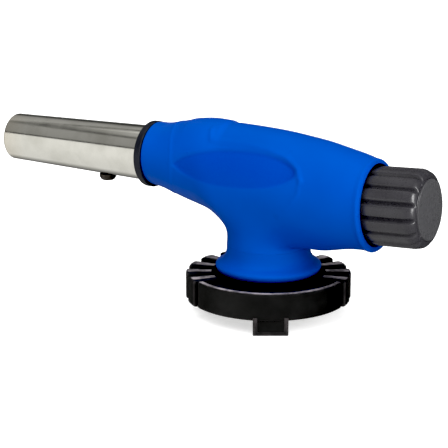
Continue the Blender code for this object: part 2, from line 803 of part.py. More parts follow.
def make_lock_ring():
    body = prism("lock_ring", ring_outline(), 0.0, RING_HEIGHT, BASE_AXIS)
    tab_low = (TAB_INNER_RADIUS, -TAB_WIDTH / 2, -TAB_DROP)
    tab_high = (TAB_OUTER_RADIUS, TAB_WIDTH / 2, 2.0)
    tab = block("ring_tab", tab_low, tab_high, BASE_AXIS)
    tab.rotation_euler = (0.0, 0.0, TAB_AZIMUTH)
    bevel = tab.modifiers.new("bevel", "BEVEL")
    bevel.width = 0.6 * MM
    bevel.segments = 2
    combine(body, tab, "UNION")
    recess = rods("ring_recess", [upright(0.0, 0.0, RING_PLATE_BOTTOM / 2 - 5.0)],
                  RING_WALL_INNER_RADIUS, RING_PLATE_BOTTOM + 10.0, BASE_AXIS, segments=48)
    combine(body, recess)
    bore = rods("ring_bore", [upright(0.0, 0.0, RING_HEIGHT)], RING_BORE_RADIUS, 12.0, BASE_AXIS, 32)
    combine(body, bore)
    holes = rods("ring_screw_holes", claw_screw_places(6.0), SCREW_HOLE_RADIUS, 3.2, BASE_AXIS)
    combine(body, holes)
    finish(body, BLACK, 0.5)


def make_claw_plate():
    inner = HUB_FOOT_RADIUS + 2 * GAP
    leg = CLAW_OUTER_RADIUS - 1.1
    lip = CLAW_OUTER_RADIUS - 3.0
    profile = [
        (inner, CLAW_PLATE_TOP),
        (CLAW_OUTER_RADIUS, CLAW_PLATE_TOP),
        (CLAW_OUTER_RADIUS, 0.8),
        (lip, 0.8),
        (lip, 1.8),
        (leg, 1.8),
        (leg, CLAW_PLATE_BOTTOM),
        (inner, CLAW_PLATE_BOTTOM),
    ]
    plate = turned("claw_plate", profile, BASE_AXIS, steps=33)
    open_half_angle = math.radians(60.0) - CLAW_HALF_ANGLE
    for index, angle in enumerate(claw_angles(0.0)):
        outline = sector(30.0, angle, open_half_angle)
        cutter = prism(f"claw_gap_{index}", outline, -2.0, CLAW_PLATE_BOTTOM - 0.05, BASE_AXIS, CUTTERS)
        combine(plate, as_cutter(cutter))
    holes = rods("claw_screw_holes", claw_screw_places(4.5), SCREW_HOLE_RADIUS, 4.0, BASE_AXIS)
    combine(plate, holes)
    finish(plate, ZINC, 0.3, 1.0)


def make_claw_screws():
    for index, place in enumerate(claw_screw_places(CLAW_PLATE_BOTTOM - GAP), start=1):
        screw = screw_piece(f"claw_screw_{index}", 2.4, 1.2, 1.2, 3.6, BASE_AXIS, recess=0.6)
        screw.location = place.translation * MM
        screw.rotation_euler = (math.pi, 0.0, 0.0)


def make_base_hub():
    bore = STEM_RADIUS + 0.4
    profile = [
        (bore, HUB_TOP),
        (HUB_RADIUS, HUB_TOP),
        (HUB_RADIUS, CLAW_PLATE_TOP),
        (HUB_FOOT_RADIUS, CLAW_PLATE_TOP),
        (HUB_FOOT_RADIUS, HUB_BOTTOM),
        (bore, HUB_BOTTOM),
    ]
    finish(turned("base_hub", profile, BASE_AXIS), BLACK, 0.5)


def make_inlet_stem():
    spigot = 4.0
    shoulder = 19.7
    floor = 6.0
    profile = [
        (1.2, STEM_TOP),
        (spigot, STEM_TOP),
        (spigot, shoulder),
        (STEM_RADIUS, shoulder),
        (STEM_RADIUS, 1.0),
        (STEM_RADIUS - 0.5, 0.5),
        (STEM_MOUTH_RADIUS + 0.3, 0.5),
        (STEM_MOUTH_RADIUS, 0.9),
        (STEM_MOUTH_RADIUS, floor),
        (1.2, floor),
    ]
    finish(turned("inlet_stem", profile, BASE_AXIS, steps=28), BRASS, 0.3, 1.0)


def make_base_flange():
    spigot = NECK_JOIN_RADIUS - WALL
    inner = spigot - 1.0
    floor = 11.0
    top = FLANGE_TOP + 1.6
    underside = RING_HEIGHT + GAP
    profile = [
        (spigot, top),
        (spigot, FLANGE_TOP),
        (NECK_RADIUS + 0.1, FLANGE_TOP),
        (NECK_RADIUS + 0.2, 14.4),
        (NECK_RADIUS + 0.8, 12.8),
        (NECK_RADIUS + 1.8, 11.4),
        (FLANGE_RADIUS, 10.5),
        (FLANGE_RADIUS, 10.0),
        (FLANGE_RADIUS - 0.9, underside),
        (RING_BORE_RADIUS, underside),
        (RING_BORE_RADIUS, floor),
        (inner, floor),
        (inner, top),
    ]
    finish(turned("base_flange", profile, BASE_AXIS, steps=32), BLUE, 0.35)


make_housing()
make_housing_screws()
make_burner_tube()
make_front_collar()
make_mixing_tube()
make_flame_holder()
make_barrel_screw()
make_gas_jet()
make_gas_tube()
make_electrode()
make_ignition_lead()
make_valve_body()
hexagon("packing_nut", 5.8, -24.0, -19.0, KNOB_AXIS, 3.0)
make_valve_spindle()
ring("spindle_o_ring", 2.45, 0.4, -29.3, KNOB_AXIS, BLACK, steps=16)
make_rear_supports()
make_flow_dial()
make_piezo()
make_return_spring()
make_knob()
make_lock_ring()
make_claw_plate()
make_claw_screws()
make_base_hub()
make_inlet_stem()
ring("inlet_seal", 3.25, 0.65, 5.2, BASE_AXIS, BLACK)
hexagon("stem_nut", 8.6, HUB_TOP + GAP, HUB_TOP + 4.0, BASE_AXIS, STEM_RADIUS + GAP)
make_base_flange()
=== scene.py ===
import math

import bmesh
import bpy
import numpy as np
from mathutils import Matrix, Vector


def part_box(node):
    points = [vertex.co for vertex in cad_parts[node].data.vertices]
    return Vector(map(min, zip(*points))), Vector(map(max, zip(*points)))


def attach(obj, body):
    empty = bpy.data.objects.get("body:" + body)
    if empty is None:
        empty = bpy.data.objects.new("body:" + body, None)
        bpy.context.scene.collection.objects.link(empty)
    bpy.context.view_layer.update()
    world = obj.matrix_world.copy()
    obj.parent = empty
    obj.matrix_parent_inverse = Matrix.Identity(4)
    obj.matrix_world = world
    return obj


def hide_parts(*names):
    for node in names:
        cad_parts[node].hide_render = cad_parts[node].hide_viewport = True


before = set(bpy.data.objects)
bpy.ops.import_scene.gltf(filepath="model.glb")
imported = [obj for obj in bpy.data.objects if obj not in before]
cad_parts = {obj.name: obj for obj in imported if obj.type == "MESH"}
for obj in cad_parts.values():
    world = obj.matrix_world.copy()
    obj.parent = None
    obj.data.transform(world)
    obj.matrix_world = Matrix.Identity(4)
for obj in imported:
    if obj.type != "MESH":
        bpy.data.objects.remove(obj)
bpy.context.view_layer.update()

MM = 0.001
TINY = 1e-6
FAR = 1e3

# The frame's bodies that the pieces ride on.
BODY = "torch_body"
RING_BODY = "lock_ring_group"
KNOB_BODY = "knob_group"


def box_mm(node):
    low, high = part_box(node)
    return low / MM, high / MM


# ---- sizes read from the frame, in millimetres ----
TUBE_LOW, TUBE_HIGH = box_mm("burner_tube")
BARREL_Z = (TUBE_LOW.z + TUBE_HIGH.z) / 2
BARREL_RADIUS = (TUBE_HIGH.z - TUBE_LOW.z) / 2
MUZZLE_X = TUBE_LOW.x
BARREL_REAR_X = TUBE_HIGH.x
COLLAR_LOW, COLLAR_HIGH = box_mm("front_collar")
COLLAR_RADIUS = (COLLAR_HIGH.z - COLLAR_LOW.z) / 2
RING_LOW, RING_HIGH = box_mm("lock_ring")
RING_TOP = RING_HIGH.z
TAB_BOTTOM = RING_LOW.z
FLANGE_LOW, FLANGE_HIGH = box_mm("base_flange")
FLANGE_RADIUS = (FLANGE_HIGH.x - FLANGE_LOW.x) / 2
HUB_LOW, HUB_HIGH = box_mm("base_hub")
STEM_LOW, STEM_HIGH = box_mm("inlet_stem")
HOLDER_LOW, HOLDER_HIGH = box_mm("flame_holder")

# ---- sizes that shape the surfaces, in millimetres ----
MUZZLE_RADIUS = 7.8
BARREL_SHOULDER_X = -42.0
BARREL_WALL = 0.8
BARREL_SCREW_X = -61.3
SPIGOT_RADIUS = 8.2
RING_RADIUS = 26.0
RING_ROOT_RADIUS = 24.3
RING_FRONT_RADIUS = 25.4
RING_BORE_RADIUS = 9.3
RING_WALL_INNER_RADIUS = 22.0
RING_PLATE_BOTTOM = 5.5
RING_RIB_INNER_RADIUS = 17.6
RING_RIB_RISE = 1.1
RING_LOBES = 18
RING_PLAIN_LOBES = 6
LOBE_HALF = 0.33
LOBE_EDGE = 0.10
LOBE_SIDE_RISE = 0.55
PANEL_RIM = 2.8
TAB_AZIMUTH = math.radians(-59.0)
TAB_WIDTH = 10.7
TAB_INNER_RADIUS = 22.3
TAB_OUTER_RADIUS = 25.2
KNOB_TILT = math.radians(3.0)
KNOB_RIM = Vector((37.7, 0.0, 34.3))
KNOB_AXIS = Vector((math.cos(KNOB_TILT), 0.0, math.sin(KNOB_TILT)))
KNOB_RADIUS = 11.9
KNOB_LENGTH = 16.6
KNOB_SKIRT = -2.0
KNOB_TAPER_START = 1.0
KNOB_TAPER = 0.55
KNOB_BORE_RADIUS = 10.2
KNOB_BORE_DEPTH = 13.5
KNOB_CAP_RADIUS = 9.0
KNOB_SHOULDER = 3.7
KNOB_GROOVES = 15
KNOB_GROOVE_DEPTH = 0.95
KNOB_GROOVE_WIDTH = 0.42
KNOB_RIB_CROWN = 0.25
KNOB_RUN_OUT = 13.9
KNOB_RUN_OUT_LENGTH = 1.8

# The housing's cage, as in the CAD: x, top, bottom, half width, lean in degrees.
STATIONS = [
    (-41.0, 51.8, 31.6, 10.1, 0.0),
    (-36.5, 51.9, 30.9, 10.5, 0.0),
    (-31.0, 53.3, 29.1, 11.2, 0.0),
    (-25.5, 54.3, 27.6, 12.0, 0.0),
    (-19.5, 54.9, 26.1, 12.9, 0.0),
    (-12.5, 54.5, 19.0, 13.7, 0.0),
    (-6.0, 54.3, 17.5, 14.3, 0.0),
    (0.0, 54.0, 17.0, 14.6, 0.0),
    (6.0, 53.6, 17.0, 14.8, 0.0),
    (12.5, 52.8, 17.2, 14.9, 0.0),
    (19.5, 51.9, 18.0, 14.8, 0.5),
    (26.0, 50.5, 19.5, 14.5, 1.5),
    (32.0, 49.3, 20.4, 14.1, 2.5),
    (37.0, 47.7, 20.3, 13.8, 3.0),
]
ROWS = 8
# The neck leaves the cage between two of its stations, below a row.
NECK_FIRST = 5
NECK_LAST = 9
NECK_ROW = 6
NECK_BOTTOM = FLANGE_HIGH.z - 1.3
NECK_RADIUS = 13.1
NECK_JOIN_RADIUS = 12.7
NECK_JOIN_HEIGHT = 21.6
NECK_JOIN_SLOPE = 2.7
WALL = 1.8
MOUTH_WALL = 1.2
SEAM = 0.05
# Each screw's x and z, and the depth of its seat.
HOUSING_SCREWS = [(-25.0, 32.6, 4.5), (-12.0, 49.0, 6.0), (14.0, 47.5, 6.5), (17.0, 23.5, 5.0)]
BOSS_RADIUS = 4.0
WELL_RADIUS = 3.0
WELL_LENGTH = 20.0
SHANK_RADIUS = 1.2
SCREW_BORE_RADIUS = 1.5
HOLE_LENGTH = 24.0
PILOT_LENGTH = 11.0

# The thumb recess on each flank, and the ridges beside it, in the side view.
RECESS_X = -6.1
RECESS_Z = 42.8
RECESS_RISE = 0.05
RECESS_LENGTH = 22.4
RECESS_HEIGHT = 6.05
RECESS_FRONT_POWER = 0.62
RECESS_REAR_POWER = 2.3
RECESS_STEPS = 41
RECESS_DEPTH = 0.42
RECESS_TILT = 0.30
RECESS_CROWN = 0.12
RECESS_REAR_DEPTH = 0.25
UPPER_RIDGE = [(-16.7, 52.6), (-15.4, 50.3), (-8.7, 50.1), (-3.5, 50.3),
               (3.9, 49.7), (11.4, 47.9), (16.2, 45.0), (17.9, 42.0)]
LOWER_RIDGE = [(17.8, 42.0), (17.6, 38.1), (15.4, 34.9), (11.0, 30.8)]
UPPER_RIDGE_HEIGHT = 0.30
LOWER_RIDGE_HEIGHT = 0.20
BAND_X = -29.1
BAND_Z = 41.5
BAND_BOW = 0.025
BAND_BEAD = 0.14
BAND_STEP = 0.10
RIM_BEAD = 0.24
RIM_ROUND = 0.8
RIM_ROUND_SHARE = 0.75
RIM_ROUND_START = 36.25
PAD_FRONT_X = -29.5
PAD_REAR_X = -13.4
PAD_HEIGHT = 0.28
PAD_GROOVE_X = -12.4
PAD_GROOVE_DEPTH = 0.14


# ---- camera, floor and light ----
CAMERA_AZIMUTH = math.radians(31.0)
CAMERA_ELEVATION = math.radians(14.94)
CAMERA_DISTANCE = 446.0
CAMERA_TARGET = Vector((-16.31, 0.0, 21.26))
CAMERA_LENS = 112.5
CAMERA_NEAR = 0.01
BLACK_LEVEL = 0.018
WHITE_LEVEL = 0.95
# Each sun's name, azimuth, elevation and spread in degrees, and strength.
SUNS = [
    ("key", 10.0, 66.0, 80.0, 2.9),
    ("side", 88.0, 24.0, 40.0, 1.6),
    ("fill", 50.0, -8.0, 90.0, 1.95),
    ("back", 215.0, 8.0, 90.0, 1.7),
]
# The glint's and the floor's own sizes are in metres.
GLINT_AIM = Vector((0.83, -0.34, 0.40)).normalized()
GLINT_WATTS = 4.0
GLINT_WIDTH = 0.12
GLINT_HEIGHT = 0.50
GLINT_DISTANCE = 0.6
FLOOR_SIZE = 6.0
FLOOR_GAP = 0.02 * MM
# The tent's brightness by elevation in degrees, then its share by direction along X and Y.
TENT = [(-90.0, 0.80), (-50.0, 0.86), (-15.0, 0.98), (17.2, 1.00), (18.6, 0.05), (21.5, 0.08),
        (24.0, 0.34), (49.5, 0.37), (51.0, 0.12), (53.5, 0.16), (56.0, 0.45), (90.0, 0.55)]
ALONG_X = [(-1.0, 0.3), (-0.8, 0.35), (-0.66, 1.0), (-0.30, 1.0), (0.05, 0.55), (1.0, 0.5)]
ALONG_Y = [(-1.0, 1.0), (0.05, 1.0), (0.30, 0.5), (0.55, 0.2), (1.0, 0.15)]
# A brighter patch high up behind the object: its share by direction along Y and Z.
PATCH_Y = [(-1.0, 0.0), (0.03, 0.0), (0.08, 0.6), (0.55, 0.8), (0.70, 0.0), (1.0, 0.0)]
PATCH_Z = [(-1.0, 0.0), (0.36, 0.0), (0.44, 1.0), (1.0, 1.0)]
TENT_TINT = (1.0, 1.0, 0.98, 1.0)
WHITE = (1.0, 1.0, 1.0, 1.0)
FLOOR_GREY = (0.85, 0.85, 0.85, 1.0)
# The glint lights only what is in this collection.
KNOB_ONLY = bpy.data.collections.new("knob_only")


def new_object(name, data):
    """A new object in the scene's own collection."""
    obj = bpy.data.objects.new(name, data)
    bpy.context.scene.collection.objects.link(obj)
    return obj


def put(node, **values):
    """Sets a node's inputs by their names, with _ for a space."""
    for name, value in values.items():
        node.inputs[name.replace("_", " ")].default_value = value


def towards(azimuth, elevation):
    """A direction by its azimuth, from -Y towards +X, and its elevation."""
    return Vector((math.sin(azimuth) * math.cos(elevation),
                   -math.cos(azimuth) * math.cos(elevation),
                   math.sin(elevation)))


def place_camera():
    data = bpy.data.cameras.new("camera")
    data.lens = CAMERA_LENS
    data.clip_start = CAMERA_NEAR
    camera = new_object("camera", data)
    back = towards(CAMERA_AZIMUTH, CAMERA_ELEVATION)
    camera.location = (CAMERA_TARGET + back * CAMERA_DISTANCE) * MM
    camera.rotation_euler = back.to_track_quat("Z", "Y").to_euler()
    bpy.context.scene.camera = camera


def light_scene():
    """A soft studio: a banded tent, a wide key light from above and weaker lights round it."""
    scene = bpy.context.scene
    view = scene.view_settings
    view.view_transform = "Standard"
    view.use_curve_mapping = True
    view.curve_mapping.black_level = (BLACK_LEVEL, BLACK_LEVEL, BLACK_LEVEL)
    view.curve_mapping.white_level = (WHITE_LEVEL, WHITE_LEVEL, WHITE_LEVEL)
    view.curve_mapping.update()
    scene.world = make_tent()
    for sun in SUNS:
        add_sun(*sun)
    add_glint()


def make_tent():
    """The tent lights by the direction's parts along X, Y and Z. The camera sees plain white."""
    world = bpy.data.worlds.new("studio")
    world.use_nodes = True
    nodes = world.node_tree.nodes
    links = world.node_tree.links
    coordinates = nodes.new("ShaderNodeTexCoord")
    split = nodes.new("ShaderNodeSeparateXYZ")
    links.new(coordinates.outputs["Generated"], split.inputs[0])

    def profile(part, values):
        """A brightness by the direction's part along one axis, from -1 to 1."""
        place = nodes.new("ShaderNodeMapRange")
        put(place, From_Min=-1.0)
        ramp = nodes.new("ShaderNodeValToRGB")
        elements = ramp.color_ramp.elements
        while len(elements) < len(values):
            elements.new(0.5)
        for element, (direction, value) in zip(elements, values):
            element.position = (direction + 1) / 2
            element.color = (value, value, value, 1.0)
        links.new(split.outputs[part], place.inputs["Value"])
        links.new(place.outputs["Result"], ramp.inputs[0])
        return ramp.outputs["Color"]

    patch = nodes.new("ShaderNodeMath")
    patch.operation = "MULTIPLY_ADD"
    links.new(profile("Y", PATCH_Y), patch.inputs[0])
    links.new(profile("Z", PATCH_Z), patch.inputs[1])
    links.new(profile("Y", ALONG_Y), patch.inputs[2])
    product = nodes.new("ShaderNodeMath")
    product.operation = "MULTIPLY"
    links.new(profile("X", ALONG_X), product.inputs[0])
    links.new(patch.outputs[0], product.inputs[1])
    tint = nodes.new("ShaderNodeMix")
    tint.data_type = "RGBA"
    tint.blend_type = "MULTIPLY"
    put(tint, Factor=1.0, B=TENT_TINT)
    heights = [(math.sin(math.radians(elevation)), value) for elevation, value in TENT]
    links.new(profile("Z", heights), tint.inputs["A"])
    links.new(tint.outputs["Result"], nodes["Background"].inputs["Color"])
    links.new(product.outputs[0], nodes["Background"].inputs["Strength"])
    backdrop = nodes.new("ShaderNodeBackground")
    put(backdrop, Color=WHITE)
    seen = nodes.new("ShaderNodeMixShader")
    links.new(nodes.new("ShaderNodeLightPath").outputs["Is Camera Ray"], seen.inputs[0])
    links.new(nodes["Background"].outputs[0], seen.inputs[1])
    links.new(backdrop.outputs[0], seen.inputs[2])
    links.new(seen.outputs[0], nodes["World Output"].inputs["Surface"])
    return world


def add_glint():
    """A tall lamp that only shows as a highlight, on the knob's shoulder."""
    data = bpy.data.lights.new("glint", "AREA")
    data.shape = "RECTANGLE"
    data.size = GLINT_WIDTH
    data.size_y = GLINT_HEIGHT
    data.energy = GLINT_WATTS
    lamp = new_object("glint", data)
    lamp.location = KNOB_RIM * MM + GLINT_AIM * GLINT_DISTANCE
    lamp.rotation_euler = GLINT_AIM.to_track_quat("Z", "Y").to_euler()
    lamp.visible_diffuse = False
    lamp.light_linking.receiver_collection = KNOB_ONLY


def add_sun(name, azimuth, elevation, spread, strength):
    """A wide sun from a direction in degrees, which leaves no highlight of its own."""
    data = bpy.data.lights.new(name, "SUN")
    data.energy = strength
    data.angle = math.radians(spread)
    lamp = new_object(name, data)
    aim = towards(math.radians(azimuth), math.radians(elevation))
    lamp.rotation_euler = aim.to_track_quat("Z", "Y").to_euler()
    lamp.visible_glossy = False


def make_floor():
    """A pale floor, clear from below. The tent lights the object from below through it."""
    shape = bmesh.new()
    bmesh.ops.create_grid(shape, x_segments=1, y_segments=1, size=FLOOR_SIZE)
    floor = from_bmesh("floor", shape)
    floor.location = (0.0, 0.0, TAB_BOTTOM * MM - FLOOR_GAP)
    floor.visible_diffuse = False
    floor.visible_glossy = False
    floor.visible_shadow = False
    material = bpy.data.materials.new("floor")
    material.use_nodes = True
    nodes = material.node_tree.nodes
    links = material.node_tree.links
    shader = nodes["Principled BSDF"]
    put(shader, Base_Color=FLOOR_GREY, Roughness=0.9, Specular_IOR_Level=0.1)
    put(shader, Emission_Color=WHITE, Emission_Strength=0.5)
    one_sided = nodes.new("ShaderNodeMixShader")
    links.new(nodes.new("ShaderNodeNewGeometry").outputs["Backfacing"], one_sided.inputs[0])
    links.new(shader.outputs[0], one_sided.inputs[1])
    links.new(nodes.new("ShaderNodeBsdfTransparent").outputs[0], one_sided.inputs[2])
    links.new(one_sided.outputs[0], nodes["Material Output"].inputs["Surface"])
    floor.data.materials.append(material)


# ---- materials ----
class Shade:
    """Builds one material's node tree, in object coordinates.

    `roughness` is the mean, for an export that leaves the nodes out.
    """

    def __init__(self, name, roughness, metallic=0.0, specular=0.5):
        self.material = bpy.data.materials.new(name)
        self.material.use_nodes = True
        self.nodes = self.material.node_tree.nodes
        self.links = self.material.node_tree.links
        self.shader = self.nodes["Principled BSDF"]
        put(self.shader, Roughness=roughness, Metallic=metallic, Specular_IOR_Level=specular)
        self.place = self.nodes.new("ShaderNodeTexCoord").outputs["Object"]
        self.height = None

    def stretched(self, scale):
        """Object coordinates with a scale along each axis."""
        mapping = self.nodes.new("ShaderNodeMapping")
        put(mapping, Scale=scale)
        self.links.new(self.place, mapping.inputs["Vector"])
        return mapping.outputs["Vector"]

    def noise(self, size_mm, detail, where=None, roughness=0.5):
        """Cloudy noise, with features of about this size."""
        node = self.nodes.new("ShaderNodeTexNoise")
        put(node, Scale=1.0 / (size_mm * MM), Detail=detail, Roughness=roughness)
        self.links.new(where or self.place, node.inputs["Vector"])
        return node.outputs["Fac"]

    def ramp(self, value, low, high, start=0.0, end=1.0):
        """Maps a value between two limits on to a range."""
        node = self.nodes.new("ShaderNodeMapRange")
        put(node, From_Min=low, From_Max=high, To_Min=start, To_Max=end)
        self.links.new(value, node.inputs["Value"])
        return node.outputs["Result"]

    def cloud(self, size_mm, detail, low, high, start=0.0, end=1.0):
        """Noise between two limits, mapped on to a range."""
        return self.ramp(self.noise(size_mm, detail), low, high, start, end)

    def times(self, value, share):
        """A value times a share, which is a number or a socket."""
        node = self.nodes.new("ShaderNodeMath")
        node.operation = "MULTIPLY"
        self.links.new(value, node.inputs[0])
        if isinstance(share, float):
            node.inputs[1].default_value = share
        else:
            self.links.new(share, node.inputs[1])
        return node.outputs[0]

    def mix(self, factor, first, second):
        """Mixes two colours, each a tuple or a socket."""
        node = self.nodes.new("ShaderNodeMix")
        node.data_type = "RGBA"
        self.links.new(factor, node.inputs["Factor"])
        for socket, value in ((node.inputs[6], first), (node.inputs[7], second)):
            if isinstance(value, tuple):
                socket.default_value = (*value, 1.0)
            else:
                self.links.new(value, socket)
        return node.outputs[2]

    def worn_edges(self, low, high):
        """Bright where the surface turns sharply outwards."""
        geometry = self.nodes.new("ShaderNodeNewGeometry")
        return self.ramp(geometry.outputs["Pointiness"], low, high)

    def axis(self, name):
        """The place's coordinate along one axis."""
        split = self.nodes.new("ShaderNodeSeparateXYZ")
        self.links.new(self.place, split.inputs[0])
        return split.outputs[name]

    def colour(self, value):
        self.links.new(value, self.shader.inputs["Base Color"])

    def roughness(self, value):
        self.links.new(value, self.shader.inputs["Roughness"])

    def bump(self, value, depth_mm, strength):
        """Adds a layer of relief over any earlier one."""
        node = self.nodes.new("ShaderNodeBump")
        put(node, Strength=strength, Distance=depth_mm * MM)
        self.links.new(value, node.inputs["Height"])
        if self.height is not None:
            self.links.new(self.height, node.inputs["Normal"])
        self.height = node.outputs["Normal"]
        self.links.new(self.height, self.shader.inputs["Normal"])


BLUE_TONES = (0.0012, 0.057, 0.335), (0.0016, 0.064, 0.370)
BLUE_WORN = (0.02, 0.14, 0.50)
# Painted shade: the thumb recesses are painted in this darker blue.
BLUE_RECESS_SHADE = (0.0010, 0.045, 0.318)
BLACK_TONE = (0.0055, 0.0055, 0.0055)
# The pale edges of the black plastics are partly wear, partly a painted highlight.
BLACK_WORN_AND_HIGHLIGHT = (0.045, 0.04, 0.042)
# A painted highlight along the crests of the lock ring's ribs.
BLACK_CREST_HIGHLIGHT = (0.30, 0.27, 0.28)
KNOB_TONES = (0.027, 0.026, 0.030), (0.036, 0.035, 0.040)
KNOB_WORN = (0.12, 0.12, 0.13)
# The end cap's paler tones are partly its own and partly painted light from the side.
CAP_TONES_WITH_PAINTED_LIGHT = (0.058, 0.058, 0.062), (0.075, 0.075, 0.080)
STEEL_TONES = (0.70, 0.69, 0.64), (0.60, 0.59, 0.54)
STRAW = (0.62, 0.54, 0.42)


def blue_plastic():
    """Moulded ABS: fine orange peel, faint flow marks, edges paled by handling, and painted shade
    in the thumb recesses, broken up by a stipple.
    """
    s = Shade("blue_plastic", 0.33, 0.0, 0.09)
    colour = s.mix(s.cloud(18.0, 3.0, 0.3, 0.7), *BLUE_TONES)
    edge = s.times(s.worn_edges(0.56, 0.68), s.cloud(2.5, 4.0, 0.35, 0.7))
    colour = s.mix(s.times(edge, 0.45), colour, BLUE_WORN)
    # painted shade: the thumb recesses are darkened, broken up by a stipple
    recess = s.nodes.new("ShaderNodeAttribute")
    recess.attribute_name = "painted_recess_shade"
    stipple = s.cloud(0.5, 2.0, 0.35, 0.65, 0.75, 1.0)
    s.colour(s.mix(s.times(recess.outputs["Fac"], stipple), colour, BLUE_RECESS_SHADE))
    s.roughness(s.cloud(3.5, 4.0, 0.25, 0.75, 0.27, 0.40))
    s.bump(s.noise(0.28, 2.0), 0.006, 0.5)
    return s.material


def black_plastic(name, base=BLACK_TONE, worn_and_highlight=BLACK_WORN_AND_HIGHLIGHT, crest=None):
    """Moulded nylon with a fine spark-eroded grain, greyer on its edges, partly from handling and
    partly as a painted highlight.

    `crest` is a height in millimetres above which the plastic is painted pale, as a painted
    highlight.
    """
    s = Shade(name, 0.42, 0.0, 0.3)
    # greyer edges: partly wear, partly a painted highlight
    edge = s.times(s.worn_edges(0.515, 0.56), s.cloud(1.8, 4.0, 0.30, 0.62))
    tone = s.mix(s.cloud(5.0, 3.0, 0.3, 0.7), base, tuple(c * 1.5 for c in base))
    colour = s.mix(edge, tone, worn_and_highlight)
    if crest is not None:
        # a painted highlight along the tops of the ribs and the panel's rim
        high = s.ramp(s.axis("Z"), (crest - 0.13) * MM, (crest - 0.02) * MM)
        crest_highlight = s.times(high, s.cloud(2.4, 4.0, 0.36, 0.60, 0.25, 1.0))
        colour = s.mix(crest_highlight, colour, BLACK_CREST_HIGHLIGHT)
    s.colour(colour)
    s.roughness(s.cloud(1.6, 4.0, 0.25, 0.75, 0.34, 0.52))
    s.bump(s.noise(0.16, 2.0), 0.012, 0.6)
    return s.material


def knob_plastic():
    """Satin dark grey plastic, with a finely grained end cap that is paler, partly in its own tone
    and partly as painted light from the side.
    """
    s = Shade("knob_plastic", 0.30, 0.0, 0.5)
    tone = s.mix(s.cloud(6.0, 3.0, 0.3, 0.7), *KNOB_TONES)
    edge = s.times(s.worn_edges(0.53, 0.60), s.cloud(1.8, 4.0, 0.4, 0.7))
    tone = s.mix(edge, tone, KNOB_WORN)
    dot = s.nodes.new("ShaderNodeVectorMath")
    dot.operation = "DOT_PRODUCT"
    dot.inputs[1].default_value = KNOB_AXIS
    s.links.new(s.place, dot.inputs[0])
    # the end cap is paler: partly its own tone, partly painted light
    end = (KNOB_RIM.dot(KNOB_AXIS) + KNOB_LENGTH) * MM
    cap = s.ramp(dot.outputs["Value"], end - 0.62 * MM, end - 0.5 * MM)
    s.colour(s.mix(cap, tone, s.mix(s.cloud(1.2, 4.0, 0.3, 0.7), *CAP_TONES_WITH_PAINTED_LIGHT)))
    s.roughness(s.cloud(1.4, 4.0, 0.25, 0.75, 0.22, 0.36))
    s.bump(s.noise(0.3, 2.0), 0.005, 0.25)
    return s.material


def polished_steel():
    """Polished stainless tube: fine hoop-wise polishing lines, smudges and a straw heat tint."""
    s = Shade("polished_steel", 0.11, 1.0)
    lines = s.noise(0.35, 3.0, s.stretched((1.0, 0.05, 0.05)), 0.6)
    smudge = s.cloud(9.0, 4.0, 0.42, 0.72)
    colour = s.mix(smudge, *STEEL_TONES)
    heat = s.ramp(s.axis("X"), (MUZZLE_X + 9.0) * MM, MUZZLE_X * MM, 0.0, 0.35)
    s.colour(s.mix(heat, colour, STRAW))
    s.roughness(s.cloud(4.0, 4.0, 0.25, 0.8, 0.08, 0.19))
    s.bump(lines, 0.004, 0.25)
    return s.material


def metal(name, first, second, roughness):
    """A turned or plated metal: two close tones, fine tool lines and dull patches."""
    s = Shade(name, roughness, 1.0)
    s.colour(s.mix(s.cloud(1.7, 4.0, 0.3, 0.72), first, second))
    s.roughness(s.cloud(0.8, 4.0, 0.25, 0.75, roughness * 0.75, roughness * 1.45))
    s.bump(s.noise(0.12, 3.0, s.stretched((1.0, 0.1, 0.1)), 0.6), 0.006, 0.4)
    return s.material


def plain(name, first, second, roughness, grain_mm=0.25, depth_mm=0.008, specular=0.5):
    """A moulded or fired surface: cloudy tone, uneven gloss and a fine grain."""
    s = Shade(name, roughness, 0.0, specular)
    s.colour(s.mix(s.cloud(2.5, 4.0, 0.3, 0.7), first, second))
    s.roughness(s.cloud(1.1, 3.0, 0.25, 0.75, roughness * 0.8, roughness * 1.25))
    s.bump(s.noise(grain_mm, 2.0), depth_mm, 0.5)
    return s.material


BLUE = blue_plastic()
BLACK = black_plastic("black_plastic")
# The ring's plastic has a painted highlight along its crests.
RING_BLACK = black_plastic("ring_black", crest=RING_TOP)
COLLAR_BLACK = black_plastic("collar_black", (0.009, 0.010, 0.014), (0.05, 0.05, 0.055))
KNOB_GREY = knob_plastic()
STEEL = polished_steel()
ZINC = metal("zinc_steel", (0.56, 0.56, 0.55), (0.44, 0.44, 0.45), 0.30)
DARK_STEEL = metal("dark_steel", (0.10, 0.09, 0.08), (0.05, 0.045, 0.04), 0.34)
BRASS = metal("brass", (0.70, 0.49, 0.19), (0.52, 0.34, 0.12), 0.30)
CERAMIC = plain("ceramic", (0.80, 0.78, 0.72), (0.70, 0.67, 0.60), 0.28, 0.4, 0.005)
NYLON = plain("natural_plastic", (0.64, 0.62, 0.55), (0.56, 0.54, 0.48), 0.42)
RUBBER = plain("rubber", (0.014, 0.014, 0.014), (0.024, 0.023, 0.022), 0.62, 0.15, 0.012, 0.3)


# ---- mesh helpers ----
LEAST_TURN = 0.05
CORNER_SHARE = 0.48


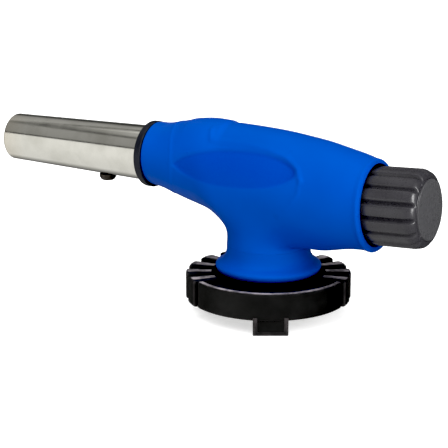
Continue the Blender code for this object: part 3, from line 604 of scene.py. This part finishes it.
def rounded(points, radius, closed=True, steps=4):
    """Rounds the corners of an outline of (radius, height) points.

    A point may carry its own corner radius as a third value.
    """
    count = len(points)
    outline = []
    for index, point in enumerate(points):
        corner = Vector(point[:2])
        own = point[2] if len(point) > 2 else radius
        if not closed and index in (0, count - 1):
            outline.append(corner)
            continue
        before = Vector(points[index - 1][:2])
        after = Vector(points[(index + 1) % count][:2])
        to_before = before - corner
        to_after = after - corner
        angle = to_before.angle(to_after, 0.0)
        if own <= 0.0 or not LEAST_TURN <= angle <= math.pi - LEAST_TURN:
            outline.append(corner)
            continue
        shorter = min(to_before.length, to_after.length)
        reach = min(own / math.tan(angle / 2), shorter * CORNER_SHARE)
        start = corner + to_before.normalized() * reach
        end = corner + to_after.normalized() * reach
        for step in range(steps + 1):
            t = step / steps
            outline.append(start * (1 - t) ** 2 + corner * 2 * t * (1 - t) + end * t * t)
    return outline


def lathe(name, outline, place=Matrix.Identity(4), closed=True, segments=96, shape=None):
    """Turns an outline about the Z axis of `place`.

    `shape(angle, radius, height)` may return a changed radius and height.
    """
    vertices = []
    faces = []
    rings = []
    for radius, height in outline:
        if radius < TINY:
            rings.append([len(vertices)])
            vertices.append(Vector((0.0, 0.0, height)))
            continue
        ring = []
        for index in range(segments):
            angle = 2 * math.pi * index / segments
            r, z = shape(angle, radius, height) if shape else (radius, height)
            ring.append(len(vertices))
            vertices.append(Vector((r * math.cos(angle), r * math.sin(angle), z)))
        rings.append(ring)
    spans = len(rings) if closed else len(rings) - 1
    for index in range(spans):
        upper = rings[index]
        lower = rings[(index + 1) % len(rings)]
        for k in range(segments):
            after = (k + 1) % segments
            if len(upper) == 1:
                faces.append((upper[0], lower[k], lower[after]))
            elif len(lower) == 1:
                faces.append((upper[k], lower[0], upper[after]))
            else:
                faces.append((upper[k], lower[k], lower[after], upper[after]))
    mesh = bpy.data.meshes.new(name)
    mesh.from_pydata([place @ (v * MM) for v in vertices], [], faces)
    shade(mesh)
    return new_object(name, mesh)


def shade(mesh, sharp=32.0):
    """Shades smooth, with the edges sharp that turn by more than an angle in degrees."""
    mesh.shade_smooth()
    mesh.set_sharp_from_angle(angle=math.radians(sharp))


def from_bmesh(name, shape):
    mesh = bpy.data.meshes.new(name)
    shape.to_mesh(mesh)
    shape.free()
    return new_object(name, mesh)


def along_x(height_mm):
    """A placement whose Z axis lies along +X at a height."""
    return Matrix.Translation((0.0, 0.0, height_mm * MM)) @ Matrix.Rotation(math.pi / 2, 4, "Y")


def on_knob_axis():
    """A placement whose Z axis is the knob's axis, from the housing's mouth."""
    return Matrix.Translation(KNOB_RIM * MM) @ Matrix.Rotation(math.pi / 2 - KNOB_TILT, 4, "Y")


def upright(x=0.0, y=0.0, z=0.0):
    """A placement whose Z axis stands upright."""
    return Matrix.Translation(Vector((x, y, z)) * MM)


def across(x, y, z):
    """A placement whose Z axis lies along -Y."""
    return Matrix.Translation(Vector((x, y, z)) * MM) @ Matrix.Rotation(math.pi / 2, 4, "X")


def rods(name, places, radius, length, segments=24):
    """Separate cylinders for cutting, each centred on a placement."""
    shape = bmesh.new()
    for place in places:
        bmesh.ops.create_cone(shape, cap_ends=True, segments=segments, radius1=radius * MM,
                              radius2=radius * MM, depth=length * MM, matrix=place)
    return from_bmesh(name, shape)


def block(name, low, high, place=Matrix.Identity(4)):
    """A box between two corners."""
    shape = bmesh.new()
    size = Vector(high) - Vector(low)
    middle = (Vector(high) + Vector(low)) / 2
    bmesh.ops.create_cube(shape, size=1.0, matrix=place @ Matrix.Translation(middle * MM)
                          @ Matrix.Diagonal((*(size * MM), 1.0)))
    return from_bmesh(name, shape)


def combine(obj, operand, operation="DIFFERENCE"):
    """Adds a Boolean with another object."""
    boolean = obj.modifiers.new(operand.name, "BOOLEAN")
    boolean.operation = operation
    boolean.solver = "EXACT"
    boolean.object = operand


def bake(obj, sharp=32.0):
    """Applies every modifier and shades the result smooth, with its edges sharp."""
    depsgraph = bpy.context.evaluated_depsgraph_get()
    mesh = bpy.data.meshes.new_from_object(obj.evaluated_get(depsgraph))
    obj.modifiers.clear()
    obj.data = mesh
    shade(mesh, sharp)
    return obj


def remove(*objects):
    for obj in objects:
        bpy.data.objects.remove(obj, do_unlink=True)


def cut(obj, *cutters):
    """Cuts the cutters' shapes away, and removes them."""
    for cutter in cutters:
        combine(obj, cutter)
    bake(obj)
    remove(*cutters)


def soften(obj, width, segments, angle):
    """Rounds the edges that turn by more than an angle in degrees."""
    bevel = obj.modifiers.new("soften", "BEVEL")
    bevel.width = width * MM
    bevel.segments = segments
    bevel.limit_method = "ANGLE"
    bevel.angle_limit = math.radians(angle)
    bake(obj)


def dress(obj, material, body, node):
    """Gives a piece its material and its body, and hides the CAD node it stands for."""
    obj.data.materials.clear()
    obj.data.materials.append(material)
    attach(obj, body)
    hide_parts(node)


def smoothstep(value, low, high):
    """0 below one limit and 1 above the other, with a smooth rise between them."""
    t = np.clip((value - low) / (high - low), 0.0, 1.0)
    return t * t * (3 - 2 * t)


def eased(share):
    """The same rise for one number, between 0 and 1."""
    t = min(max(share, 0.0), 1.0)
    return t * t * (3 - 2 * t)


def polar(radius, angle, z=0.0):
    """A point by its radius and angle about the Z axis."""
    return Vector((radius * math.cos(angle), radius * math.sin(angle), z))


# ---- housing ----
def lifted(before, point, after):
    """How far a cage point stands off for its surface to meet the wanted point."""
    return (point * 2 - before - after) / 6


def housing_cage(name, inset, overrun):
    """The +Y half of the housing's closed cage, the same as the CAD's."""
    grid = []
    last = len(STATIONS) - 1
    for index, (x, top, bottom, width, lean) in enumerate(STATIONS):
        at_mouth = index in (0, last)
        thickness = min(inset, MOUTH_WALL) if at_mouth else inset
        middle = (top + bottom) / 2
        height = (top - bottom) / 2 - thickness
        if at_mouth:
            x += math.copysign(overrun, x)
        column = []
        for row in range(ROWS + 1):
            angle = math.pi * row / ROWS
            z = height * math.cos(angle)
            y = (width - thickness) * math.sin(angle)
            column.append(Vector((x - z * math.tan(math.radians(lean)), y, middle + z)))
        grid.append(column)

    mouth = [(NECK_FIRST, row) for row in range(ROWS, NECK_ROW, -1)]
    mouth += [(column, NECK_ROW) for column in range(NECK_FIRST, NECK_LAST + 1)]
    mouth += [(NECK_LAST, row) for row in range(NECK_ROW + 1, ROWS + 1)]
    turns = [math.pi * (1 - step / (len(mouth) - 1)) for step in range(len(mouth))]
    swell = 3 / (2 + math.cos(math.pi / ROWS))
    for (column, row), turn in zip(mouth, turns):
        height = NECK_JOIN_HEIGHT - NECK_JOIN_SLOPE * math.cos(turn)
        grid[column][row] = polar(NECK_JOIN_RADIUS - inset, turn, height)

    gone = {(column, row) for column in range(NECK_FIRST + 1, NECK_LAST)
            for row in range(NECK_ROW + 1, ROWS + 1)}
    flip = Vector((1, -1, 1))
    vertices = []
    number = {}
    for column in range(last + 1):
        for row in range(ROWS + 1):
            if (column, row) in gone:
                continue
            point = grid[column][row]
            if (column, row) in mouth:
                cage_point = Vector((point.x * swell, point.y * swell, point.z))
            else:
                cage_point = point.copy()
                if 0 < column < last:
                    cage_point += lifted(grid[column - 1][row], point, grid[column + 1][row])
                before = grid[column][row - 1] if row else grid[column][1] * flip
                after = grid[column][row + 1] if row < ROWS else grid[column][row - 1] * flip
                cage_point += lifted(before, point, after)
            if row in (0, ROWS):
                cage_point.y = 0.0
            number[column, row] = len(vertices)
            vertices.append(cage_point)

    foot = []
    for turn in turns:
        foot.append(len(vertices))
        vertices.append(polar((NECK_RADIUS - inset) * swell, turn, NECK_BOTTOM - overrun))
    vertices[foot[0]].y = 0.0
    vertices[foot[-1]].y = 0.0

    faces = []
    for column in range(last):
        for row in range(ROWS):
            if NECK_FIRST <= column < NECK_LAST and row >= NECK_ROW:
                continue
            corners = ((column, row), (column + 1, row), (column + 1, row + 1), (column, row + 1))
            faces.append([number[corner] for corner in corners])
    for step in range(len(mouth) - 1):
        faces.append([number[mouth[step]], number[mouth[step + 1]], foot[step + 1], foot[step]])
    faces.append([number[0, row] for row in range(ROWS + 1)])
    faces.append([number[last, row] for row in range(ROWS, -1, -1)])
    faces.append(foot)

    mesh = bpy.data.meshes.new(name)
    mesh.from_pydata([vertex * MM for vertex in vertices], [], faces)
    shape = bmesh.new()
    shape.from_mesh(mesh)
    crease = shape.edges.layers.float.new("crease_edge")
    for face in shape.faces:
        if len(face.verts) <= 4:
            continue
        for edge in face.edges:
            if max(abs(vertex.co.y) for vertex in edge.verts) > TINY:
                edge[crease] = 1.0
    shape.to_mesh(mesh)
    shape.free()
    return mesh


def skin(name, inset, overrun, levels):
    """The housing's smooth skin, set in by a wall and run past its mouths by a length."""
    obj = new_object(name, housing_cage(name, inset, overrun))
    mirror = obj.modifiers.new("mirror", "MIRROR")
    mirror.use_axis = (False, True, False)
    mirror.merge_threshold = 0.01 * MM
    mirror.use_clip = True
    subdivision = obj.modifiers.new("subdivision", "SUBSURF")
    subdivision.levels = levels
    subdivision.render_levels = levels
    return bake(obj)


def recess_reach(x):
    """Half the height of the thumb recess at a station: pointed in front, round behind."""
    run = np.clip((x - RECESS_X) / RECESS_LENGTH, -1.0, 1.0)
    front = (1 - np.abs(run) ** 2) ** RECESS_FRONT_POWER
    rear = np.sqrt(1 - np.abs(run) ** RECESS_REAR_POWER)
    return RECESS_HEIGHT * np.where(run > 0, rear, front)


def recess_middle(x):
    """The height of the thumb recess's middle line at a station."""
    return RECESS_Z + RECESS_RISE * (x - RECESS_X)


def recess_rim(x, z):
    """Signed distance from the rim of the thumb recess in the side view: below 0 inside."""
    stations = RECESS_X - RECESS_LENGTH * np.cos(np.linspace(0.0, math.pi, RECESS_STEPS))
    reach = recess_reach(stations)
    middle = recess_middle(stations)
    upper = list(zip(stations, middle + reach))
    lower = list(zip(stations, middle - reach))
    distance = line_distance(x, z, upper + lower[-2::-1])
    inside = np.abs(z - recess_middle(x)) < recess_reach(x)
    inside &= np.abs(x - RECESS_X) < RECESS_LENGTH
    return np.where(inside, -distance, distance)


def line_distance(x, z, points):
    """Distance in the side view from a line through points."""
    nearest = np.full(x.shape, FAR)
    for (x0, z0), (x1, z1) in zip(points, points[1:]):
        run = np.array((x1 - x0, z1 - z0))
        share = ((x - x0) * run[0] + (z - z0) * run[1]) / run.dot(run)
        share = np.clip(share, 0.0, 1.0)
        nearest = np.minimum(nearest, np.hypot(x - x0 - share * run[0], z - z0 - share * run[1]))
    return nearest


def ridge(distance, width):
    """A rounded ridge, 1 high on its line."""
    return np.exp(-(distance / width) ** 2)


def shape_housing(mesh):
    """Moves the outer skin: thumb recesses, styling lines, top pad and rear lip."""
    co = np.empty(len(mesh.vertices) * 3)
    mesh.vertices.foreach_get("co", co)
    co = co.reshape(-1, 3) / MM
    normal = np.empty(len(mesh.vertices) * 3)
    mesh.vertices.foreach_get("normal", normal)
    normal = normal.reshape(-1, 3)
    x = co[:, 0]
    z = co[:, 2]
    push = np.zeros(len(x))
    side = smoothstep(np.abs(normal[:, 1]), 0.2, 0.45)
    # the recess is deepest along its upper and rear rim
    rim = recess_rim(x, z)
    height = np.clip((z - recess_middle(x)) / RECESS_HEIGHT, -1.0, 1.0)
    depth = RECESS_DEPTH + RECESS_TILT * height - RECESS_CROWN * height ** 2
    depth += RECESS_REAR_DEPTH * smoothstep(x, 2.0, 14.0)
    push -= side * (1 - smoothstep(rim, -1.5, 0.3)) * depth
    # a mask for the painted shade that darkens the recesses in the material
    painted_recess_shade = mesh.attributes.new("painted_recess_shade", "FLOAT", "POINT")
    painted_recess_shade.data.foreach_set("value", side * (1 - smoothstep(rim, -1.1, -0.2)))
    # a soft ridge follows the upper and rear rim, and a fainter one runs down behind it
    push += side * UPPER_RIDGE_HEIGHT * ridge(line_distance(x, z, UPPER_RIDGE), 0.75)
    push += side * LOWER_RIDGE_HEIGHT * ridge(line_distance(x, z, LOWER_RIDGE), 0.7)
    # the front band ends in a fine bead that bows towards the rear at mid height
    band = x - (BAND_X - BAND_BOW * (z - BAND_Z) ** 2)
    push += BAND_BEAD * ridge(band, 0.5)
    push += BAND_STEP * (1 - smoothstep(band, -0.6, 0.2)) * smoothstep(x, -42.0, -40.2)
    # rounded lip round the rear mouth
    back = x + (z - KNOB_RIM.z) * math.tan(KNOB_TILT)
    push += RIM_BEAD * ridge(back - RIM_ROUND_START, 0.8) * (x > 30)
    past = np.clip(back - RIM_ROUND_START, 0.0, RIM_ROUND_SHARE * RIM_ROUND)
    past *= normal[:, 0] < 0.9
    push -= RIM_ROUND - np.sqrt(RIM_ROUND ** 2 - past ** 2)
    # flat pad on top
    top = smoothstep(normal[:, 2], 0.55, 0.9)
    pad = smoothstep(x, PAD_FRONT_X, PAD_FRONT_X + 3.0)
    pad *= 1 - smoothstep(x, PAD_REAR_X - 1.2, PAD_REAR_X)
    push += top * pad * PAD_HEIGHT
    push -= top * PAD_GROOVE_DEPTH * ridge(x - PAD_GROOVE_X, 0.9)
    moved = (co + normal * push[:, None]) * MM
    mesh.vertices.foreach_set("co", moved.reshape(-1))
    mesh.update()


def make_housing():
    """Two shells round one hollow, with screw bosses inside and screw wells in the far one."""
    outer = skin("housing_skin", 0.0, 0.0, 4)
    shape_housing(outer.data)
    core = skin("housing_core", WALL, 3.0, 3)
    axes = [across(x, 0.0, z) for x, z, _ in HOUSING_SCREWS]
    cut(core, rods("bosses", axes, BOSS_RADIUS, 60.0, 32))
    cut(outer, core)
    seats = [across(x, seat + WELL_LENGTH / 2, z) for x, z, seat in HOUSING_SCREWS]
    wells = rods("wells", seats, WELL_RADIUS, WELL_LENGTH, 40)
    holes = rods("holes", axes, SCREW_BORE_RADIUS, HOLE_LENGTH)
    pilots = rods("pilots", axes, SCREW_BORE_RADIUS, PILOT_LENGTH)
    beyond = 70.0
    pieces = (
        ("housing_left", SEAM, beyond, (wells, holes)),
        ("housing_right", -beyond, -SEAM, (pilots,)),
    )
    for name, near, far, cutters in pieces:
        half = block("half", (-beyond, near, 0.0), (beyond, far, beyond))
        shell = new_object(name + "_shell", outer.data.copy())
        combine(shell, half, "INTERSECT")
        for cutter in cutters:
            combine(shell, cutter)
        bake(shell, 38.0)
        remove(half)
        dress(shell, BLUE, BODY, name)
    remove(outer, wells, holes, pilots)


def smooth_profile(points, steps=6):
    """A smooth line through points, as a Catmull-Rom curve."""
    result = []
    padded = [points[0], *points, points[-1]]
    for before, start, end, after in zip(padded, padded[1:], padded[2:], padded[3:]):
        for step in range(steps):
            t = step / steps
            result.append(tuple(
                0.5 * (2 * b + (c - a) * t + (2 * a - 5 * b + 4 * c - d) * t ** 2
                       + (3 * b - a - 3 * c + d) * t ** 3)
                for a, b, c, d in zip(before, start, end, after)))
    return result + [points[-1]]


def make_flange():
    """The neck's foot flares out to a rounded lip just above the lock ring."""
    spigot = NECK_JOIN_RADIUS - WALL - 0.1
    inner = spigot - 1.0
    top = FLANGE_HIGH.z
    joint = NECK_BOTTOM - 0.03
    bottom = FLANGE_LOW.z
    ledge = 11.0
    outside = smooth_profile([
        (NECK_RADIUS + 0.02, joint),
        (NECK_RADIUS + 0.10, joint - 1.8),
        (NECK_RADIUS + 0.45, joint - 3.4),
        (NECK_RADIUS + 1.30, joint - 4.7),
        (FLANGE_RADIUS - 0.95, joint - 5.5),
        (FLANGE_RADIUS - 0.28, joint - 6.0),
        (FLANGE_RADIUS, joint - 6.6),
        (FLANGE_RADIUS - 0.15, joint - 7.3),
        (FLANGE_RADIUS - 0.65, joint - 7.95),
        (FLANGE_RADIUS - 1.5, bottom),
    ])
    outline = [(spigot, top), (spigot, joint)] + outside
    outline += [(RING_BORE_RADIUS, bottom), (RING_BORE_RADIUS, ledge), (inner, ledge), (inner, top)]
    flange = lathe("flange", outline, segments=160)
    dress(flange, BLUE, BODY, "base_flange")


# ---- burner ----
def make_burner_tube():
    """A tapered tube with a rolled mouth, and a spigot that goes into the housing."""
    outline = rounded([
        (SPIGOT_RADIUS, BARREL_REAR_X, 0.2),
        (SPIGOT_RADIUS, BARREL_SHOULDER_X + 0.2, 0.2),
        (BARREL_RADIUS, BARREL_SHOULDER_X, 0.3),
        (MUZZLE_RADIUS, MUZZLE_X + 0.9, 0.3),
        (MUZZLE_RADIUS, MUZZLE_X, 0.7),
        (MUZZLE_RADIUS - 1.25, MUZZLE_X, 0.5),
        (MUZZLE_RADIUS - 1.25, MUZZLE_X + 1.2, 0.4),
        (MUZZLE_RADIUS - BARREL_WALL, MUZZLE_X + 1.8, 0.5),
        (BARREL_RADIUS - BARREL_WALL, BARREL_SHOULDER_X - 0.6, 0.3),
        (SPIGOT_RADIUS - BARREL_WALL, BARREL_SHOULDER_X, 0.3),
        (SPIGOT_RADIUS - BARREL_WALL, BARREL_REAR_X, 0.2),
    ], 0.3, steps=6)
    tube = lathe("tube", outline, along_x(BARREL_Z), segments=192)
    dress(tube, STEEL, BODY, "burner_tube")


def make_front_collar():
    inner = BARREL_RADIUS + 0.3
    front = COLLAR_LOW.x
    rear = COLLAR_HIGH.x
    outline = rounded([
        (inner, rear),
        (COLLAR_RADIUS, rear, 0.5),
        (COLLAR_RADIUS, front, 0.7),
        (inner, front, 0.4),
    ], 0.2, steps=6)
    collar = lathe("collar", outline, along_x(BARREL_Z), segments=160)
    dress(collar, COLLAR_BLACK, BODY, "front_collar")


def screw_head(name, place, radius, height, shank_length, recess):
    """A pan head with a cross recess, standing on the placement's Z axis."""
    outline = rounded([
        (0.0, height),
        (radius * 0.75, height * 0.97, radius * 0.5),
        (radius, height * 0.45, radius * 0.3),
        (radius, 0.0, 0.1),
        (SHANK_RADIUS, 0.0, 0.1),
        (SHANK_RADIUS, -shank_length, 0.4),
        (0.0, -shank_length),
    ], 0.2, closed=False, steps=5)
    head = lathe(name, outline, place, closed=False, segments=40)
    arm = radius * 0.6
    width = radius * 0.13
    cut(head, *(block("slot", (-x, -y, height - recess), (x, y, height + 1.0), place)
                for x, y in ((arm, width), (width, arm))))
    soften(head, 0.06, 2, 40.0)
    return head


def make_barrel_screw():
    low, _ = box_mm("barrel_screw")
    head = 2.2
    place = upright(BARREL_SCREW_X, 0.0, low.z + head) @ Matrix.Rotation(math.pi, 4, "X")
    screw = screw_head("tube_screw", place, 2.8, head, 3.0, 0.9)
    dress(screw, DARK_STEEL, BODY, "barrel_screw")


def make_housing_screws():
    head = 1.6
    for index, (x, z, _) in enumerate(HOUSING_SCREWS, start=1):
        node = f"housing_screw_{index}"
        low, high = box_mm(node)
        seat = high.y - head
        place = upright(x, seat, z) @ Matrix.Rotation(-math.pi / 2, 4, "X")
        place = place @ Matrix.Rotation(0.4 * index, 4, "Z")
        screw = screw_head(f"shell_screw_{index}", place, 2.6, head, seat - low.y, 0.8)
        dress(screw, ZINC, BODY, node)


def make_flame_holder():
    """A disc with a rimmed middle port, six ports round it and a passage for the electrode."""
    front = HOLDER_LOW.x
    rear = HOLDER_HIGH.x
    radius = (HOLDER_HIGH.z - HOLDER_LOW.z) / 2
    port = 1.2
    outline = rounded([
        (port, rear, 0.2),
        (radius, rear, 0.4),
        (radius, front, 0.4),
        (port + 1.4, front, 0.2),
        (port + 1.0, front + 0.6, 0.2),
        (port, front + 0.6, 0.2),
    ], 0.3)
    holder = lathe("burner_disc", outline, along_x(BARREL_Z), segments=96)
    middle = (front + rear) / 2
    through = 9.0
    ports = []
    for eighth in (1, 2, 3, 5, 6, 7):
        spot = polar(4.6, math.pi + eighth * math.pi / 4, middle)
        ports.append(along_x(BARREL_Z) @ Matrix.Translation(spot * MM))
    cut(
        holder,
        rods("ports", ports, port, through, 28),
        rods("passage", [along_x(BARREL_Z) @ upright(-5.8, 0.0, middle)], 1.8, through, 28),
        rods("hole", [upright(BARREL_SCREW_X, 0.0, BARREL_Z - 7.0)], SCREW_BORE_RADIUS, 4.0, 28),
    )
    dress(holder, BRASS, BODY, "flame_holder")


def make_electrode():
    """A ceramic tube, and a wire that leaves it and bends down towards the tube's wall."""
    low, high = box_mm("electrode_insulator")
    height = (low.z + high.z) / 2
    radius = 1.2
    outline = rounded([
        (0.0, high.x),
        (radius, high.x, 0.4),
        (radius, low.x, 0.6),
        (0.0, low.x),
    ], 0.4, closed=False)
    insulator = lathe("insulator", outline, along_x(height), closed=False, segments=40)
    dress(insulator, CERAMIC, BODY, "electrode_insulator")
    curve = bpy.data.curves.new("spark_wire", "CURVE")
    curve.dimensions = "3D"
    curve.bevel_depth = 0.45 * MM
    curve.bevel_resolution = 4
    curve.use_fill_caps = True
    spline = curve.splines.new("NURBS")
    route = [(-70.3, height), (-72.0, height), (-74.4, height), (-76.4, height - 1.4),
             (-77.0, height - 4.0)]
    spline.points.add(len(route) - 1)
    for point, (x, z) in zip(spline.points, route):
        point.co = (x * MM, 0.0, z * MM, 1.0)
    spline.use_endpoint_u = True
    spline.order_u = 3
    spline.resolution_u = 8
    wire = new_object("spark_wire", curve)
    dress(wire, ZINC, BODY, "electrode_wire")


# ---- knob ----
def make_knob():
    """Broad ribs with narrow grooves that run out on the rounded shoulder, and a domed end."""
    top = KNOB_LENGTH
    cap = KNOB_CAP_RADIUS
    outline = [(0.0, top)]
    for step in range(1, 9):
        outline.append((cap * step / 8, top - 0.40 * (step / 8) ** 2))
    shoulder = top - KNOB_SHOULDER
    outline += smooth_profile([
        (cap + 0.12, top - 0.60),
        (cap + 0.28, top - 0.86),
        (cap + 0.50, top - 0.78),
        (cap + 1.05, top - 0.92),
        (cap + 1.90, top - 1.50),
        (cap + 2.55, top - 2.40),
        (KNOB_RADIUS, shoulder),
    ], 4)
    length = shoulder - KNOB_SKIRT
    for step in range(1, 13):
        outline.append((KNOB_RADIUS, shoulder - (length - 0.4) * step / 12))
    outline += rounded([
        (KNOB_RADIUS, KNOB_SKIRT + 0.3),
        (KNOB_RADIUS, KNOB_SKIRT, 0.3),
        (KNOB_BORE_RADIUS, KNOB_SKIRT, 0.2),
        (KNOB_BORE_RADIUS, KNOB_BORE_DEPTH, 1.0),
        (4.0, KNOB_BORE_DEPTH, 0.3),
        (4.0, 9.5, 0.3),
        (0.0, 9.5),
    ], 0.3, closed=False)
    bore = KNOB_BORE_RADIUS + 0.01

    def ribbed(angle, radius, height):
        taper = KNOB_TAPER * max(0.0, KNOB_TAPER_START - height) / (KNOB_TAPER_START - KNOB_SKIRT)
        if radius > bore and height < KNOB_TAPER_START:
            radius -= taper
        if radius < cap + 0.6 or (radius <= bore and height < KNOB_BORE_DEPTH + 0.1):
            return radius, height
        # 0 on the line of a groove, 1 on the crest of a rib
        share = abs(angle * KNOB_GROOVES / (2 * math.pi) % 1.0 - 0.5) * 2
        depth = KNOB_GROOVE_DEPTH * eased(1.0 - share / KNOB_GROOVE_WIDTH)
        depth += KNOB_RIB_CROWN * (1 - share) ** 2
        run_out = min(max((height - KNOB_RUN_OUT) / KNOB_RUN_OUT_LENGTH, 0.0), 1.0)
        return radius - depth * (1.0 - run_out ** 2), height

    segments = KNOB_GROOVES * 26
    knob = lathe("knob", outline, on_knob_axis(), closed=False, segments=segments, shape=ribbed)
    dress(knob, KNOB_GREY, KNOB_BODY, "control_knob")
    KNOB_ONLY.objects.link(knob)


# ---- lock ring ----
def lobe(angle):
    """How far a place is inside a grip lobe, 0 to 1, and the height of its rounded top, 0 to 1.

    The plain stretch round the tab gives -1.
    """
    pitch = 2 * math.pi / RING_LOBES
    plain = RING_PLAIN_LOBES * pitch / 2
    offset = (angle - TAB_AZIMUTH + math.pi) % (2 * math.pi) - math.pi
    if abs(offset) < plain:
        return -1.0, 1.0
    place = abs(((offset - plain) / pitch) % 1.0 - 0.5)
    reach = LOBE_HALF + LOBE_EDGE / 2
    return eased((reach - place) / LOBE_EDGE), max(0.0, 1 - (place / reach) ** 2)


def make_lock_ring():
    """Grip lobes with rounded radial ribs on top, and a plain panel round the tab."""
    deck = RING_TOP - RING_RIB_RISE
    outline = rounded([
        (RING_BORE_RADIUS, deck, 0.3),
        (RING_RIB_INNER_RADIUS - 0.5, deck, 0.3),
        (RING_RIB_INNER_RADIUS + 0.3, RING_TOP, 0.5),
        (RING_RADIUS, RING_TOP, 0.9),
        (RING_RADIUS, 0.0, 0.7),
        (RING_WALL_INNER_RADIUS, 0.0, 0.3),
        (RING_WALL_INNER_RADIUS, RING_PLATE_BOTTOM, 0.4),
        (RING_BORE_RADIUS, RING_PLATE_BOTTOM, 0.2),
    ], 0.3, steps=6)
    dense = []
    for index, point in enumerate(outline):
        after = outline[(index + 1) % len(outline)]
        pieces = max(1, int((after - point).length / 0.9))
        for step in range(pieces):
            dense.append(point.lerp(after, step / pieces))
    solid = RING_WALL_INNER_RADIUS + 0.4

    def lobed(angle, radius, height):
        inside, crest = lobe(angle)
        r, z = radius, height
        if radius > solid:
            target = RING_FRONT_RADIUS
            if inside >= 0:
                target = RING_ROOT_RADIUS + (RING_RADIUS - RING_ROOT_RADIUS) * inside
            r = solid + (radius - solid) / (RING_RADIUS - solid) * (target - solid)
        if height > deck + 0.01:
            # on the plain panel only a rim along the outer edge stands up
            up = eased(radius - RING_RADIUS + PANEL_RIM)
            if inside >= 0:
                up = inside * (LOBE_SIDE_RISE + (1 - LOBE_SIDE_RISE) * crest)
            z = deck + (height - deck) * up
        return r, z

    ring = lathe("ring", dense, segments=900, shape=lobed)
    dress(ring, RING_BLACK, RING_BODY, "lock_ring")
    make_tab()


def make_tab():
    """The tab below the ring, with a shallow panel in its face."""
    place = Matrix.Rotation(TAB_AZIMUTH, 4, "Z")
    half = TAB_WIDTH / 2
    tab = block("ring_tab", (TAB_INNER_RADIUS, -half, TAB_BOTTOM), (TAB_OUTER_RADIUS, half, 1.0),
                place)
    panel = block("panel", (TAB_OUTER_RADIUS - 0.35, -half + 1.3, TAB_BOTTOM + 1.0),
                  (TAB_OUTER_RADIUS + 1.0, half - 1.3, 4.0), place)
    cut(tab, panel)
    soften(tab, 0.3, 3, 30.0)
    dress(tab, RING_BLACK, RING_BODY, "lock_ring")


# ---- underside ----
def make_underside():
    """The hub that the ring turns on, the gas inlet in its middle and the claw plate's screws."""
    bore = 6.3
    hub_radius = 9.0
    lip_radius = (HUB_HIGH.x - HUB_LOW.x) / 2
    lip_top = 5.2
    outline = rounded([
        (bore, HUB_HIGH.z),
        (hub_radius, HUB_HIGH.z),
        (hub_radius, lip_top),
        (lip_radius, lip_top),
        (lip_radius, HUB_LOW.z, 0.5),
        (bore, HUB_LOW.z, 0.4),
    ], 0.2)
    dress(lathe("hub", outline), BLACK, BODY, "base_hub")
    passage = 1.2
    neck = 4.0
    shoulder = 19.7
    stem = (STEM_HIGH.x - STEM_LOW.x) / 2
    socket = 4.2
    socket_top = 6.0
    outline = rounded([
        (passage, STEM_HIGH.z),
        (neck, STEM_HIGH.z),
        (neck, shoulder),
        (stem, shoulder),
        (stem, STEM_LOW.z, 0.5),
        (socket, STEM_LOW.z, 0.4),
        (socket, socket_top),
        (passage, socket_top),
    ], 0.2)
    dress(lathe("inlet", outline), BRASS, BODY, "inlet_stem")
    head = 1.2
    for index in range(1, 4):
        node = f"claw_screw_{index}"
        low, high = box_mm(node)
        place = upright((low.x + high.x) / 2, (low.y + high.y) / 2, low.z + head)
        place = place @ Matrix.Rotation(math.pi, 4, "X") @ Matrix.Rotation(0.5 * index, 4, "Z")
        screw = screw_head(f"plate_screw_{index}", place, 2.4, head, 3.6, 0.6)
        dress(screw, ZINC, RING_BODY, node)


# ---- pieces that keep their CAD shape ----
CARRIED = [
    (BRASS, ["mixing_tube", "gas_jet", "gas_tube", "contact_ring", "valve_body", "packing_nut",
             "stem_nut"]),
    (BLACK, ["ignition_lead", "rear_bush", "piezo_body"]),
    (NYLON, ["flow_dial", "piezo_plunger"]),
    (ZINC, ["claw_plate", "return_spring", "valve_spindle"]),
    (RUBBER, ["inlet_seal", "spindle_o_ring"]),
]


def dress_carried_nodes():
    for material, nodes in CARRIED:
        for node in nodes:
            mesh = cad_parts[node].data
            mesh.materials.clear()
            mesh.materials.append(material)
            shade(mesh, 35.0)


place_camera()
make_floor()
light_scene()
make_housing()
make_flange()
make_burner_tube()
make_front_collar()
make_barrel_screw()
make_housing_screws()
make_flame_holder()
make_electrode()
make_knob()
make_lock_ring()
make_underside()
dress_carried_nodes()
